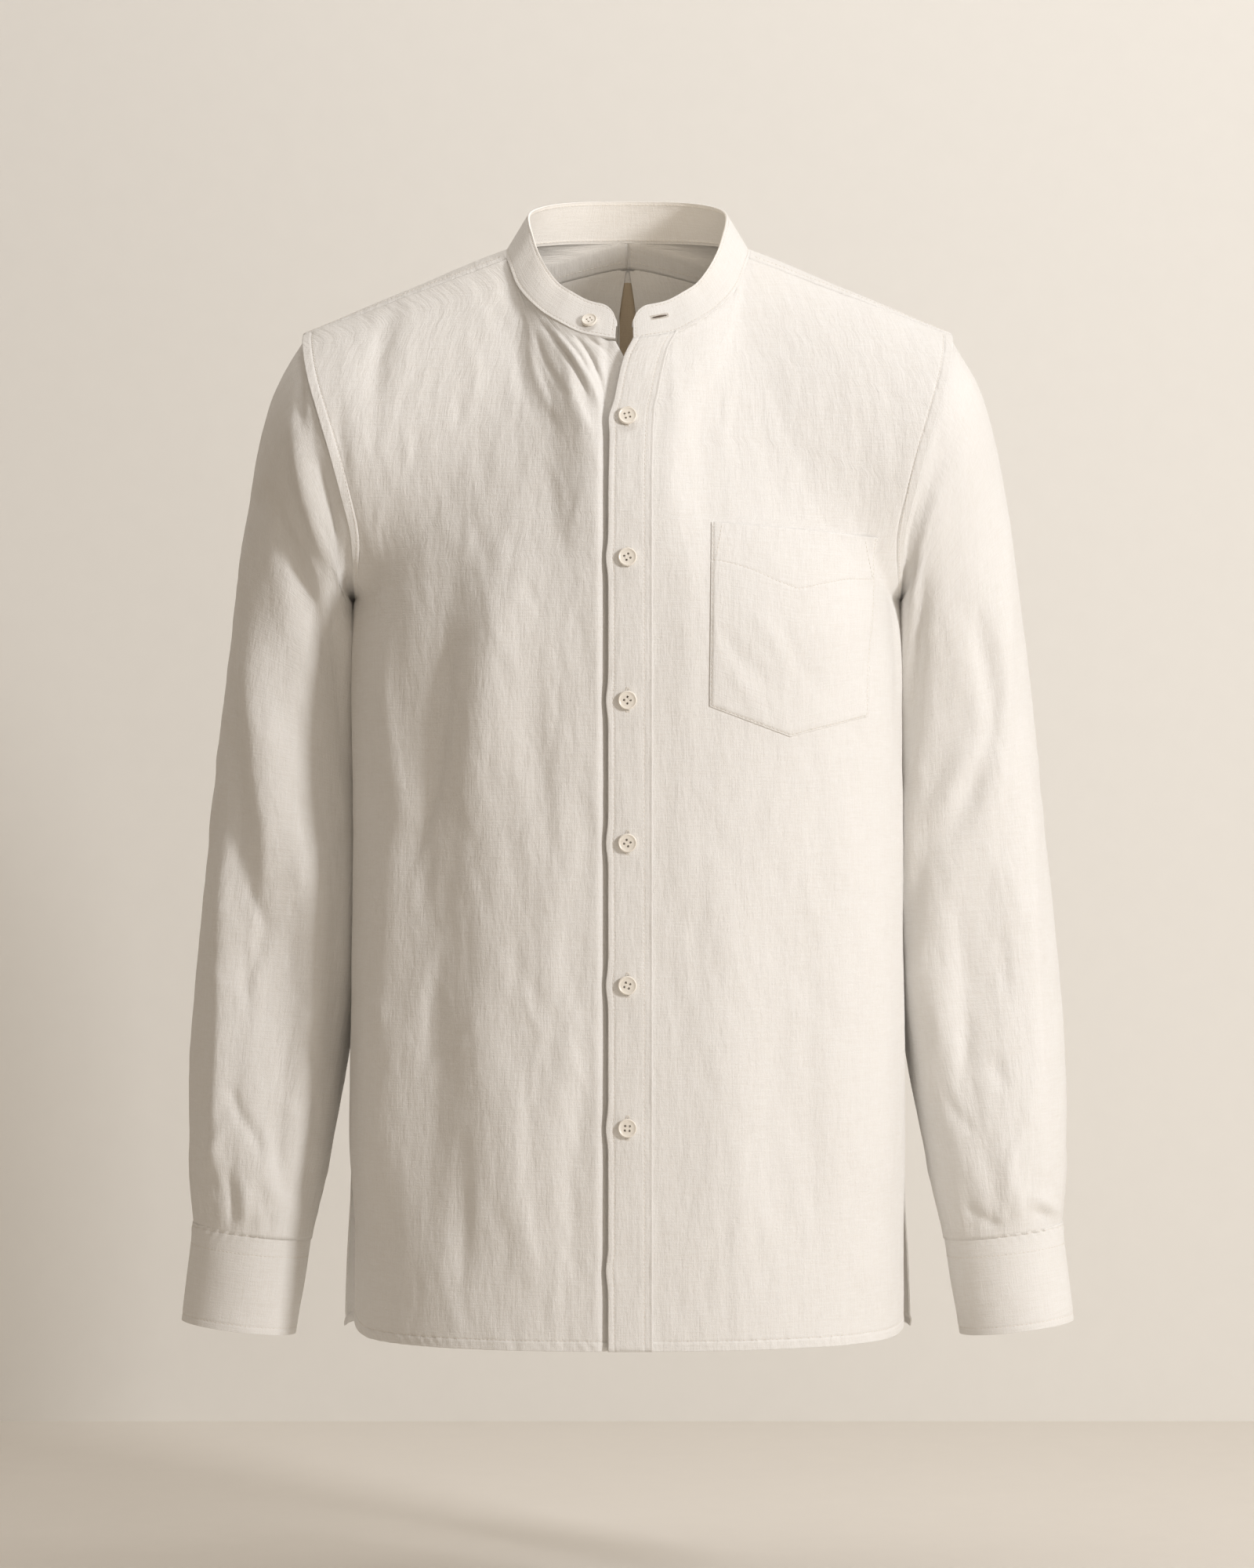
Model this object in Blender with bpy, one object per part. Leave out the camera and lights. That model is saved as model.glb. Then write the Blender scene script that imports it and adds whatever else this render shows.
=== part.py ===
"""Linen shirt with a mandarin (band) collar, filled out as if worn, with nobody in it.

Metres, +Z up. The front faces -Y and the wearer's left is +X. The origin lies midway between the
two points where the shoulders meet the collar, which is where the neck and shoulders carry it.

Every cloth piece is a grid that a function lays out as the middle of the cloth, and a Solidify
modifier gives it its thickness. u runs across a piece and v along it, each from 0 to 1.
"""
import math

import bmesh
import bpy
from mathutils import Vector

# ---------------------------------------------------------------- driving sizes
CLOTH = 0.0012            # one layer of linen with its turned edge
STIFF_CLOTH = 0.0022      # collar and cuffs: two layers over an interlining
SEAM_GAP = 0.0005         # between the edges of two pieces
LAYER_GAP = 0.0004        # between two layers that lie on each other
POCKET_GAP = 0.0011       # between a patch or strip and the curved cloth under it

HEM_Z = -0.737            # bottom of the fronts
ARMPIT_Z = -0.237
HEM_RISE_LEFT = 0.009     # how far the rounded corner of each front rises at its side
HEM_RISE_RIGHT = 0.016
HEM_CURVE = 0.018         # how far that rounding reaches along the hem
HALF_WIDTH_OF_CLOTH = 0.255
TOP_EASE = 0.30                # how much of its width a body panel rounds its top line's corner over
SECTION_POWER = 2.3       # 2 is an ellipse, more is squarer
CHEST_TURN = 57           # degrees of a section that the cloth turns between the centre and an armhole

NECK_HALF_WIDTH = 0.083
NECK_FRONT = 0.083
NECK_BACK = 0.072
COLLAR_HALF_WIDTH = 0.0680
COLLAR_FRONT = 0.0665
COLLAR_BACK = 0.0620
COLLAR_END_RIGHT = -0.0084     # x where the wearer's right end of the band starts
COLLAR_END_LEFT = 0.0037       # x where the wearer's left end starts
COLLAR_ROUNDING = 0.014

SHOULDER_Z = -0.052
RIDGE_Y = 0.004
ARMHOLE_DEPTH = 0.078
SHOULDER_SEAM_ANGLE = 80.0     # on the neck ring, from the front centre
YOKE_TIP_FRONT = 15.0          # on the armhole, from its top, towards the front
YOKE_TIP_BACK = -36.0
YOKE_CENTRE = (0.0, 0.0850, 0.0030)

LAP_CURVE = 0.9                # how fast the lapped strip of both fronts curves back, per metre
LAP_DEPTH = 0.0020             # from the middle of one front to that of the other, where they lap
PLACKET_WIDTH = 0.0295
PLACKET_LIFT = 0.0018          # from the middle of the left front to that of the placket
PANEL_INSET = (0.0010, 0.0006)     # the share of u and of v that seam gaps take from each edge
YOKE_INSET = (0.0022, 0.0040)
PLACKET_INSET = (0.0, 0.0045)
BUTTON_RADIUS = 0.0063
COLLAR_BUTTON_RADIUS = 0.0053
BUTTON_THICKNESS = 0.0026
BUTTON_TOP_Z = -0.1180
BUTTON_SPACING = 0.0943
FRONT_BUTTONS = 6

CUFF_GIRTH = 0.247
CUFF_OVERLAP = 0.030
CUFF_START = 0.77              # share of a turn where the cuff's under end lies
CUFF_TURN = 1.0 + CUFF_OVERLAP / CUFF_GIRTH
CUFF_BUTTON_INSET = 0.011      # from the cuff's outer end

ARMPIT_V = 0.70                # where the armpit lies along a body panel
FRONT_COLUMNS = 15             # of a front's grid
NECK_COLUMNS = 6               # how many of them lie along the neckline
BACK_HALF_COLUMNS = 15
PLEAT_CORNERS = 5              # columns of the back's half grid that the pleat takes
FRONT_CLOTH = (0.28, 0.68)     # width and length of a piece of cloth, laid flat
BACK_CLOTH = (0.52, 0.72)
SLEEVE_CLOTH = (0.38, 0.63)
FLAT_MIDDLE = 0.020            # half width of the strip that the fronts' folds leave flat

LINEN = (0.800, 0.765, 0.700)
SHELL = (0.780, 0.740, 0.660)


class Table:
    """Rows of sizes under named columns, read smoothly at any value of the first column."""

    def __init__(self, names, *rows):
        self.names = names.split()
        self.rows = rows

    def slope(self, index, column):
        low = self.rows[max(index - 1, 0)]
        high = self.rows[min(index + 1, len(self.rows) - 1)]
        return (high[column] - low[column]) / (high[0] - low[0])

    def at(self, place, name):
        column = self.names.index(name)
        place = min(max(place, self.rows[0][0]), self.rows[-1][0])
        index = 0
        while index < len(self.rows) - 2 and place > self.rows[index + 1][0]:
            index += 1
        low = self.rows[index]
        high = self.rows[index + 1]
        span = high[0] - low[0]
        t = (place - low[0]) / span
        rise = self.slope(index, column) * span
        fall = self.slope(index + 1, column) * span
        return ((2 * t**3 - 3 * t**2 + 1) * low[column] + (t**3 - 2 * t**2 + t) * rise
                + (3 * t**2 - 2 * t**3) * high[column] + (t**3 - t**2) * fall)


# the body, from the hem up: how far the cloth stands forward and back at its middle
BODY = Table(
    "z front back",
    (-0.740, 0.1310, 0.1270),
    (-0.600, 0.1290, 0.1250),
    (-0.450, 0.1265, 0.1215),
    (-0.330, 0.1275, 0.1210),
    (-0.235, 0.1270, 0.1225),
    (-0.170, 0.1190, 0.1215),
    (-0.110, 0.1010, 0.1170),
    (-0.0635, 0.0830, 0.1090),
    (-0.0300, 0.0700, 0.0990),
    (0.0030, 0.0600, 0.0850),
)

# the side seam, which opens at z -0.645 into a vent
SIDE = Table(
    "z front_x front_y back_x back_y",
    (-0.740, 0.1878, -0.0120, 0.1955, 0.0180),
    (-0.690, 0.1883, -0.0070, 0.1935, 0.0100),
    (-0.645, 0.1889, -0.0008, 0.1905, 0.0008),
    (-0.560, 0.1882, 0.0, 0.1884, 0.0),
    (-0.450, 0.1868, 0.0, 0.1868, 0.0),
    (-0.330, 0.1870, 0.0, 0.1870, 0.0),
    (-0.237, 0.1878, 0.0, 0.1878, 0.0),
)

# the armhole seam, from the armpit up to the shoulder
ARMHOLE = Table(
    "z x",
    (-0.2370, 0.1862),
    (-0.1960, 0.1872),
    (-0.1690, 0.1932),
    (-0.1420, 0.2003),
    (-0.1150, 0.2085),
    (-0.0875, 0.2168),
    (-0.0650, 0.2215),
    (-0.0520, 0.2225),
)

# the neck ring and the collar's top edge, by degrees from the front centre to the back centre
NECK = Table(
    "angle seam_z top_z",
    (0.0, -0.0635, -0.0410),
    (21.0, -0.0585, -0.0365),
    (34.0, -0.0497, -0.0290),
    (45.0, -0.0410, -0.0210),
    (64.0, -0.0215, 0.0015),
    (75.0, -0.0060, 0.0160),
    (90.0, 0.0045, 0.0285),
    (120.0, 0.0125, 0.0395),
    (150.0, 0.0180, 0.0455),
    (180.0, 0.0200, 0.0470),
)

# where the front edges run, by height: the wearer's left laps over the right
EDGE = Table(
    "z left right",
    (-0.740, -0.0130, 0.0120),
    (-0.200, -0.0130, 0.0120),
    (-0.157, -0.0128, 0.0120),
    (-0.120, -0.0114, 0.0110),
    (-0.108, -0.0093, 0.0085),
    (-0.078, -0.0030, -0.0010),
    (-0.0635, 0.0037, -0.0084),
)

# the sleeve: the outer and inner ends of each ring, its middle's y and its half depth
SLEEVE = Table(
    "v outer_x outer_z inner_x inner_z middle_y depth",
    (0.00, 0.2225, -0.0520, 0.1862, -0.2370, 0.004, 0.0780),
    (0.05, 0.2305, -0.0680, 0.1890, -0.2382, 0.007, 0.0795),
    (0.10, 0.2405, -0.0875, 0.1902, -0.2400, 0.012, 0.0800),
    (0.16, 0.2500, -0.1140, 0.1900, -0.2435, 0.019, 0.0800),
    (0.22, 0.2572, -0.1440, 0.1890, -0.2500, 0.026, 0.0790),
    (0.29, 0.2640, -0.1830, 0.1878, -0.2640, 0.033, 0.0770),
    (0.37, 0.2712, -0.2330, 0.1868, -0.2880, 0.038, 0.0745),
    (0.45, 0.2788, -0.2870, 0.1862, -0.3230, 0.041, 0.0720),
    (0.54, 0.2855, -0.3500, 0.1858, -0.3700, 0.042, 0.0700),
    (0.64, 0.2925, -0.4200, 0.1864, -0.4290, 0.039, 0.0670),
    (0.74, 0.2990, -0.4920, 0.1896, -0.4990, 0.033, 0.0630),
    (0.83, 0.3028, -0.5560, 0.1968, -0.5630, 0.022, 0.0590),
    (0.91, 0.3020, -0.6100, 0.2068, -0.6190, 0.011, 0.0540),
    (0.96, 0.3003, -0.6420, 0.2132, -0.6510, 0.005, 0.0480),
    (1.00, 0.2985, -0.6620, 0.2182, -0.6715, 0.001, 0.0390),
)

CUFF = Table(
    "v outer_x outer_z inner_x inner_z middle_y depth",
    (0.0, 0.2986, -0.6632, 0.2183, -0.6727, 0.001, 0.0388),
    (1.0, 0.3060, -0.7300, 0.2293, -0.7395, -0.003, 0.0370),
)

# the box pleat under the yoke: half the gap between its inner folds, half its width outside and
# how far its outer layer stands off the back
PLEAT = Table(
    "z gap fold rise",
    (-0.740, 0.0480, 0.0180, 0.0035),
    (-0.430, 0.0420, 0.0180, 0.0050),
    (-0.250, 0.0300, 0.0210, 0.0062),
    (-0.150, 0.0175, 0.0240, 0.0062),
    (-0.060, 0.0092, 0.0250, 0.0056),
    (-0.030, 0.0066, 0.0250, 0.0052),
    (0.003, 0.0016, 0.0250, 0.0046),
)

# soft folds: where each starts and ends on its piece, its half width and its height, in metres
FRONT_RIGHT_FOLDS = Table(
    "start_u start_v end_u end_v width height",
    (0.62, 0.52, 0.70, 0.72, 0.018, 0.0030),
    (0.58, 0.28, 0.56, 0.60, 0.022, -0.0040),
    (0.80, 0.10, 0.86, 0.55, 0.024, 0.0035),
    (0.30, 0.04, 0.36, 0.40, 0.030, 0.0030),
    (0.16, 0.90, 0.26, 0.98, 0.009, -0.0030),
)
FRONT_LEFT_FOLDS = Table(
    "start_u start_v end_u end_v width height",
    (0.42, 0.05, 0.46, 0.50, 0.030, -0.0030),
    (0.70, 0.08, 0.66, 0.42, 0.028, 0.0030),
    (0.88, 0.55, 0.80, 0.82, 0.020, -0.0030),
)
BACK_FOLDS = Table(
    "start_u start_v end_u end_v width height",
    (0.26, 0.02, 0.30, 0.52, 0.030, 0.0040),
    (0.74, 0.04, 0.69, 0.55, 0.032, 0.0040),
    (0.40, 0.02, 0.42, 0.40, 0.024, -0.0035),
    (0.61, 0.02, 0.58, 0.45, 0.024, -0.0035),
    (0.88, 0.60, 0.78, 0.80, 0.022, -0.0030),
    (0.12, 0.60, 0.22, 0.80, 0.022, -0.0030),
)
SLEEVE_FOLDS = Table(
    "start_u start_v end_u end_v width height",
    (0.10, 0.30, 0.26, 0.62, 0.016, 0.0040),
    (0.30, 0.12, 0.38, 0.52, 0.014, -0.0050),
    (0.13, 0.56, 0.17, 0.92, 0.014, 0.0035),
    (0.24, 0.66, 0.30, 0.90, 0.012, -0.0040),
    (0.72, 0.25, 0.62, 0.60, 0.016, -0.0040),
    (0.84, 0.60, 0.76, 0.88, 0.016, 0.0035),
    (0.66, 0.62, 0.72, 0.90, 0.012, -0.0035),
    (0.92, 0.88, 0.98, 0.96, 0.012, 0.0035),
)


# ---------------------------------------------------------------- small helpers
def mix(low, high, share):
    return low + (high - low) * share


def smooth(share):
    share = min(max(share, 0.0), 1.0)
    return share * share * (3 - 2 * share)


def normal_of(place, u, v):
    """The direction out of the cloth, for a piece whose u runs to +X over its front."""
    step = 0.002
    across = place(min(u + step, 1), v) - place(max(u - step, 0), v)
    along = place(u, min(v + step, 1)) - place(u, max(v - step, 0))
    return across.cross(along).normalized()


def moved_out(place, distance, side=1.0):
    """The same piece of cloth, moved out by a distance that may vary over it."""
    def placed(u, v):
        far = distance(u, v) if callable(distance) else distance
        return place(u, v) + normal_of(place, u, v) * (side * far)
    return placed


def fold_height(folds, u, v, width, length):
    """How far soft folds lift a point; width and length turn u and v into metres."""
    lift = 0.0
    for start_u, start_v, end_u, end_v, half_width, height in folds.rows:
        run = Vector(((end_u - start_u) * width, (end_v - start_v) * length))
        point = Vector(((u - start_u) * width, (v - start_v) * length))
        share = min(max(point.dot(run) / run.length_squared, 0.0), 1.0)
        away = (point - run * share).length / half_width
        taper = 0.35 + 0.65 * math.sin(math.pi * min(max(share, 0.0), 1.0))
        lift += height * taper * math.exp(-away * away)
    return lift


# ---------------------------------------------------------------- the shirt's form
def neck_point(angle):
    """A point of the seam between the body and the collar."""
    turn = math.radians(angle)
    depth = NECK_FRONT if math.cos(turn) > 0 else NECK_BACK
    folded = abs((angle + 180) % 360 - 180)
    return Vector((NECK_HALF_WIDTH * math.sin(turn), -depth * math.cos(turn), NECK.at(folded, "seam_z")))


def collar_top_point(angle):
    turn = math.radians(angle)
    depth = COLLAR_FRONT if math.cos(turn) > 0 else COLLAR_BACK
    folded = abs((angle + 180) % 360 - 180)
    return Vector((COLLAR_HALF_WIDTH * math.sin(turn), -depth * math.cos(turn), NECK.at(folded, "top_z")))


def armhole_point(angle):
    """A point of the wearer's left armhole: 0 is its top, 90 its front and 180 the armpit."""
    turn = math.radians(angle)
    height = SHOULDER_Z - ARMPIT_Z
    z = ARMPIT_Z + height * (1 + math.cos(turn)) / 2
    middle = RIDGE_Y * (1 + math.cos(turn)) / 2
    return Vector((ARMHOLE.at(z, "x"), middle - ARMHOLE_DEPTH * math.sin(turn), z))


def shoulder_seam(share):
    return neck_point(SHOULDER_SEAM_ANGLE).lerp(armhole_point(YOKE_TIP_FRONT), share)


def yoke_seam(share):
    """The seam between yoke and back, from the centre back to the armhole."""
    start = Vector(YOKE_CENTRE)
    end = armhole_point(YOKE_TIP_BACK)
    return Vector((end.x * share,
                   end.y + (start.y - end.y) * math.cos(share * math.pi / 2) ** 0.8,
                   mix(start.z, end.z, share ** 1.25)))


def section_shape(turn):
    across = math.sin(turn)
    out = math.cos(turn)
    reach = (abs(across) ** SECTION_POWER + abs(out) ** SECTION_POWER) ** (-1 / SECTION_POWER)
    return reach * across, reach * out


def section(share, inner_x, side, middle_y, end_turn):
    """A body section from inner_x, near the centre line, to its side point.

    It is part of a rounded oblong. With an end_turn of 90 degrees it runs straight back at its
    side, and with less it is still on its way across, as at the front of an armhole.
    """
    end_across, end_out = section_shape(end_turn)
    half_width = side.x / end_across
    depth = (middle_y - side.y) / (1 - end_out)
    start = math.asin(inner_x / half_width)
    across, out = section_shape(mix(start, end_turn, share))
    return half_width * across, middle_y - depth * (1 - out)


def eased_top(top, u, spread):
    """The top line, its corner rounded over a spread of u; its ends stay where they are."""
    spread = min(spread, u, 1 - u)
    return sum((top(u + spread * step) for step in (-1, -0.5, 0, 0.5, 1)), Vector()) / 5


def body_cloth(front, top, top_z, edge, armhole_start, hem_rise=0.0):
    """The form of one half of the front or back, on the wearer's left, from the hem up.

    top gives the neck and shoulder line, edge the inner edge's x at a height, and armhole_start the
    angle where this panel's armhole starts.
    """
    column = "front" if front else "back"
    sign = -1.0 if front else 1.0
    armpit_angle = 180.0 if front else -180.0

    def place(u, v):
        end_turn = math.pi / 2
        if v <= ARMPIT_V:
            centre_z = mix(HEM_Z, ARMPIT_Z, v / ARMPIT_V)
            side = Vector((SIDE.at(centre_z, column + "_x"), SIDE.at(centre_z, column + "_y"), centre_z))
            rise = smooth((v / ARMPIT_V - 0.86) / 0.14)
            side = side.lerp(armhole_point(armpit_angle), rise)
        else:
            share = (v - ARMPIT_V) / (1 - ARMPIT_V)
            centre_z = mix(ARMPIT_Z, top_z, share)
            side = armhole_point(mix(armpit_angle, armhole_start, share ** 1.1))
            end_turn = math.radians(mix(90, CHEST_TURN, smooth(share / 0.6)))
        inner_x = edge(centre_z)
        middle_y = sign * BODY.at(centre_z, column)
        z = mix(centre_z, side.z, u * u * (1.6 - 0.6 * u))
        point = Vector((*section(u, inner_x, side, middle_y, end_turn), z))
        weight = smooth((v - 0.62) / 0.38)
        if weight > 0:
            inner = Vector((*section(0, inner_x, side, middle_y, end_turn), centre_z))
            shift_inner = inner - top(0)
            shift_outer = side - top(1)
            line = eased_top(top, u, TOP_EASE * (1 - weight**2))
            eased = line + shift_inner * (1 - u) + shift_outer * u
            point = point.lerp(eased, weight ** 1.5)
        if front:
            shared = 1 - smooth((abs(point.x) - 0.022) / 0.030)
            shared *= 1 - smooth((v - 0.88) / 0.08)
            lap_y = -BODY.at(point.z, column) + LAP_CURVE * point.x ** 2
            point.y = mix(point.y, lap_y, shared)
        reach = (1 - u) * HALF_WIDTH_OF_CLOTH
        point.z += hem_rise * math.exp(-reach / HEM_CURVE) * smooth(1 - v / 0.08)
        return point
    return place


def front_top(edge_x):
    """The neckline and then the shoulder seam of a front whose neck edge is at edge_x."""
    start = math.degrees(math.asin(edge_x / NECK_HALF_WIDTH))
    neck_share = NECK_COLUMNS / FRONT_COLUMNS

    def top(u):
        if u < neck_share:
            return neck_point(mix(start, SHOULDER_SEAM_ANGLE, u / neck_share))
        return shoulder_seam((u - neck_share) / (1 - neck_share))
    return top


FRONT_LEFT = body_cloth(True, front_top(COLLAR_END_LEFT), NECK.at(0.0, "seam_z"),
                        lambda z: EDGE.at(z, "left"), YOKE_TIP_FRONT, HEM_RISE_LEFT)
FRONT_RIGHT = body_cloth(True, front_top(-COLLAR_END_RIGHT), NECK.at(0.0, "seam_z"),
                         lambda z: -EDGE.at(z, "right"), YOKE_TIP_FRONT, HEM_RISE_RIGHT)
BACK = body_cloth(False, yoke_seam, YOKE_CENTRE[2], lambda z: 0.0, YOKE_TIP_BACK)


# ---------------------------------------------------------------- where each piece lies
def mirrored(place):
    """The wearer's right side piece of a left side one."""
    def placed(u, v):
        point = place(1 - u, v)
        return Vector((-point.x, point.y, point.z))
    return placed


def folded(place, folds, flat_size, flat_middle=0.0):
    """A piece with its soft folds, which leave a strip at the garment's middle flat."""
    def height(u, v):
        away = smooth((abs(place(u, v).x) - flat_middle) / 0.030) if flat_middle else 1.0
        return fold_height(folds, u, v, *flat_size) * away
    return moved_out(place, height)


def share_at(place, x, v):
    """The u at which a panel that runs towards +X reaches x."""
    low = 0.0
    high = 1.0
    for _ in range(24):
        middle = (low + high) / 2
        if place(middle, v).x < x:
            low = middle
        else:
            high = middle
    return (low + high) / 2


front_left = folded(FRONT_LEFT, FRONT_LEFT_FOLDS, FRONT_CLOTH, FLAT_MIDDLE)
front_right_flat = folded(mirrored(FRONT_RIGHT), FRONT_RIGHT_FOLDS, FRONT_CLOTH, FLAT_MIDDLE)


def front_right(u, v):
    """Where it runs under the wearer's left front it lies one layer further in."""
    point = front_right_flat(u, v)
    under = smooth((point.x + 0.034) / 0.018)
    return point - normal_of(front_right_flat, u, v) * under * LAP_DEPTH


def back_smooth(u, v):
    """The back without its pleat, from the wearer's left to right."""
    across = abs(1 - 2 * u)
    point = BACK(across, v)
    return point if u < 0.5 else Vector((-point.x, point.y, point.z))


back_soft = folded(back_smooth, BACK_FOLDS, BACK_CLOTH)


def back(u, v):
    across = abs(1 - 2 * u)
    side = 1 if u < 0.5 else -1
    height = BACK(0, v).z
    gap = PLEAT.at(height, "gap")
    fold = PLEAT.at(height, "fold")
    rise = PLEAT.at(height, "rise")
    corners = (
        (0.0, rise), (fold, rise), (fold + 0.0004, 0.66 * rise), (gap - 0.0004, 0.34 * rise), (gap, 0.0),
        (max(gap, fold) + 0.012, 0.0),
    )
    step = across * BACK_HALF_COLUMNS
    last_share = share_at(BACK, corners[-1][0], v)
    if step >= PLEAT_CORNERS:
        share = mix(last_share, 1, (step - PLEAT_CORNERS) / (BACK_HALF_COLUMNS - PLEAT_CORNERS))
        out = 0.0
    else:
        corner = int(step)
        x = mix(corners[corner][0], corners[corner + 1][0], step - corner)
        out = mix(corners[corner][1], corners[corner + 1][1], step - corner)
        share = share_at(BACK, x, v)
    flat_u = 0.5 - side * share / 2
    return back_soft(flat_u, v) + normal_of(back_smooth, flat_u, v) * out


def yoke(u, v):
    """Half the yoke, between the shoulder seam, the armhole, the back seam and the neck."""
    neck_share = 0.86
    ridge_share = 0.125

    def inner(share):
        if share < neck_share:
            return neck_point(mix(SHOULDER_SEAM_ANGLE, 180, share / neck_share))
        return neck_point(180).lerp(Vector(YOKE_CENTRE), (share - neck_share) / (1 - neck_share))

    def outer(share):
        if share < ridge_share:
            return armhole_point(mix(YOKE_TIP_FRONT, 0, share / ridge_share))
        return armhole_point(mix(0, YOKE_TIP_BACK, (share - ridge_share) / (1 - ridge_share)))

    between_seams = shoulder_seam(u).lerp(yoke_seam(u), v)
    between_sides = inner(v).lerp(outer(v), u)
    corners = inner(0).lerp(outer(0), u).lerp(inner(1).lerp(outer(1), u), v)
    return between_seams + between_sides - corners


def ring_point(table, angle, v):
    """A point of a sleeve or cuff ring: 0 is its outer side, 90 its front."""
    turn = math.radians(angle)
    middle_y = table.at(v, "middle_y")
    outer = Vector((table.at(v, "outer_x"), middle_y, table.at(v, "outer_z")))
    inner = Vector((table.at(v, "inner_x"), middle_y, table.at(v, "inner_z")))
    point = (outer + inner) / 2 + (outer - inner) / 2 * math.cos(turn)
    point.y -= table.at(v, "depth") * math.sin(turn)
    return point


def sleeve_plain(u, v):
    angle = 360 * u
    point = ring_point(SLEEVE, angle, v)
    near = max(1 - v / 0.14, 0.0) ** 2
    if near > 0:
        under = (1 - math.cos(math.radians(angle))) / 2
        start = armhole_point(angle) + Vector((0.0009 + 0.0012 * under, 0, 0))
        point += (start - ring_point(SLEEVE, angle, 0)) * near
    return point


def sleeve(u, v):
    fade = smooth(v / 0.06) * smooth((1 - v) / 0.04)
    lift = sum(fold_height(SLEEVE_FOLDS, u + turn, v, *SLEEVE_CLOTH) for turn in (-1, 0, 1))
    return sleeve_plain(u, v) + normal_of_ring(sleeve_plain, u, v) * lift * fade


def normal_of_ring(place, u, v):
    step = 0.002
    across = place(u + step, v) - place(u - step, v)
    along = place(u, min(v + step, 1)) - place(u, max(v - step, 0))
    return across.cross(along).normalized()


def cuff(u, v):
    """A strip that goes once round the wrist and then laps over its own start."""
    turn = CUFF_START + u * CUFF_TURN
    over = smooth((u * CUFF_TURN - 0.90) / 0.09) * (STIFF_CLOTH + LAYER_GAP)
    point = ring_point(CUFF, 360 * turn, v)
    return point + normal_of_ring(lambda a, b: ring_point(CUFF, 360 * a, b), turn, v) * over


def collar(u, v):
    """The band, from the wearer's left end round the back to the right end."""
    start = math.degrees(math.asin(COLLAR_END_LEFT / NECK_HALF_WIDTH))
    end = 360 + math.degrees(math.asin(COLLAR_END_RIGHT / NECK_HALF_WIDTH))
    angle = mix(start, end, u)
    low = neck_point(angle)
    high = collar_top_point(angle)
    from_end = min(u, 1 - u) * math.radians(end - start) * NECK_HALF_WIDTH
    height = 1.0
    if from_end < COLLAR_ROUNDING:
        height = mix(0.42, 1.0, math.sqrt(1 - (1 - from_end / COLLAR_ROUNDING) ** 2))
    lift = (high - low).normalized() * 0.0014
    return (low + lift).lerp(high, v * height)


def placket(u, v):
    """The band on the wearer's left front, made from that front's own points."""
    x = FRONT_LEFT(0, v).x + PLACKET_WIDTH * u
    share = share_at(FRONT_LEFT, x, v)
    return front_left(share, v) + normal_of(FRONT_LEFT, share, v) * PLACKET_LIFT


def front_share_at(x, z):
    """The u and v of the wearer's left front at a width and a height."""
    v = 0.5
    u = 0.5
    for _ in range(12):
        u = share_at(FRONT_LEFT, x, v)
        v = min(max(v + (z - FRONT_LEFT(u, v).z) / 0.70, 0), 1)
    return u, v


# the chest pocket's corners and point: x and z on the front
POCKET = Table(
    "u x bottom_x top_z bottom_z",
    (0.0, 0.0554, 0.0540, -0.1880, -0.3106),
    (0.5, 0.1120, 0.1078, -0.1918, -0.3306),
    (1.0, 0.1684, 0.1610, -0.1957, -0.3168),
)


def straight(table, place, name):
    """Read a table by straight lines, for an edge with corners."""
    column = table.names.index(name)
    for low, high in zip(table.rows, table.rows[1:]):
        if place <= high[0]:
            return mix(low[column], high[column], (place - low[0]) / (high[0] - low[0]))
    return table.rows[-1][column]


def pocket(u, v):
    x = mix(straight(POCKET, u, "bottom_x"), straight(POCKET, u, "x"), v)
    z = mix(straight(POCKET, u, "bottom_z"), straight(POCKET, u, "top_z"), v)
    share = front_share_at(x, z)
    return front_left(*share) + normal_of(FRONT_LEFT, *share) * (CLOTH + POCKET_GAP)


def sleeve_placket(u, v):
    at = (mix(0.765, 0.850, u), mix(0.82, 0.997, v))
    return sleeve(*at) + normal_of_ring(sleeve_plain, *at) * (CLOTH + POCKET_GAP)


# ---------------------------------------------------------------- making the solids
def clear_scene():
    for item in list(bpy.data.objects):
        bpy.data.objects.remove(item, do_unlink=True)


def make_material(name, colour, roughness):
    material = bpy.data.materials.new(name)
    material.use_nodes = True
    shader = material.node_tree.nodes["Principled BSDF"]
    shader.inputs["Base Color"].default_value = (*colour, 1)
    shader.inputs["Roughness"].default_value = roughness
    return material


def add_object(name, mesh, material, garment):
    mesh.materials.append(material)
    mesh.shade_smooth()
    mesh.set_sharp_from_angle(angle=math.radians(40))
    item = bpy.data.objects.new(name, mesh)
    item.parent = garment
    bpy.context.scene.collection.objects.link(item)
    return item


def cloth(name, place, columns, rows, thickness, look, inset=(0.0, 0.0), close=False):
    """One piece of cloth: a grid laid out by place(u, v) as its middle, then given its thickness."""
    mesh = bpy.data.meshes.new(name)
    sheet = bmesh.new()
    bmesh.ops.create_grid(sheet, x_segments=columns, y_segments=rows, size=0.5)
    for vert in sheet.verts:
        u = mix(inset[0], 1 - inset[0], vert.co.x + 0.5)
        v = mix(inset[1], 1 - inset[1], vert.co.y + 0.5)
        vert.co = place(u, v)
    if close:
        bmesh.ops.remove_doubles(sheet, verts=sheet.verts, dist=0.00001)
    sheet.to_mesh(mesh)
    sheet.free()
    item = add_object(name, mesh, *look)
    wall = item.modifiers.new("Wall", "SOLIDIFY")
    wall.thickness = thickness
    wall.offset = 0
    wall.use_even_offset = True
    return item


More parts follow.
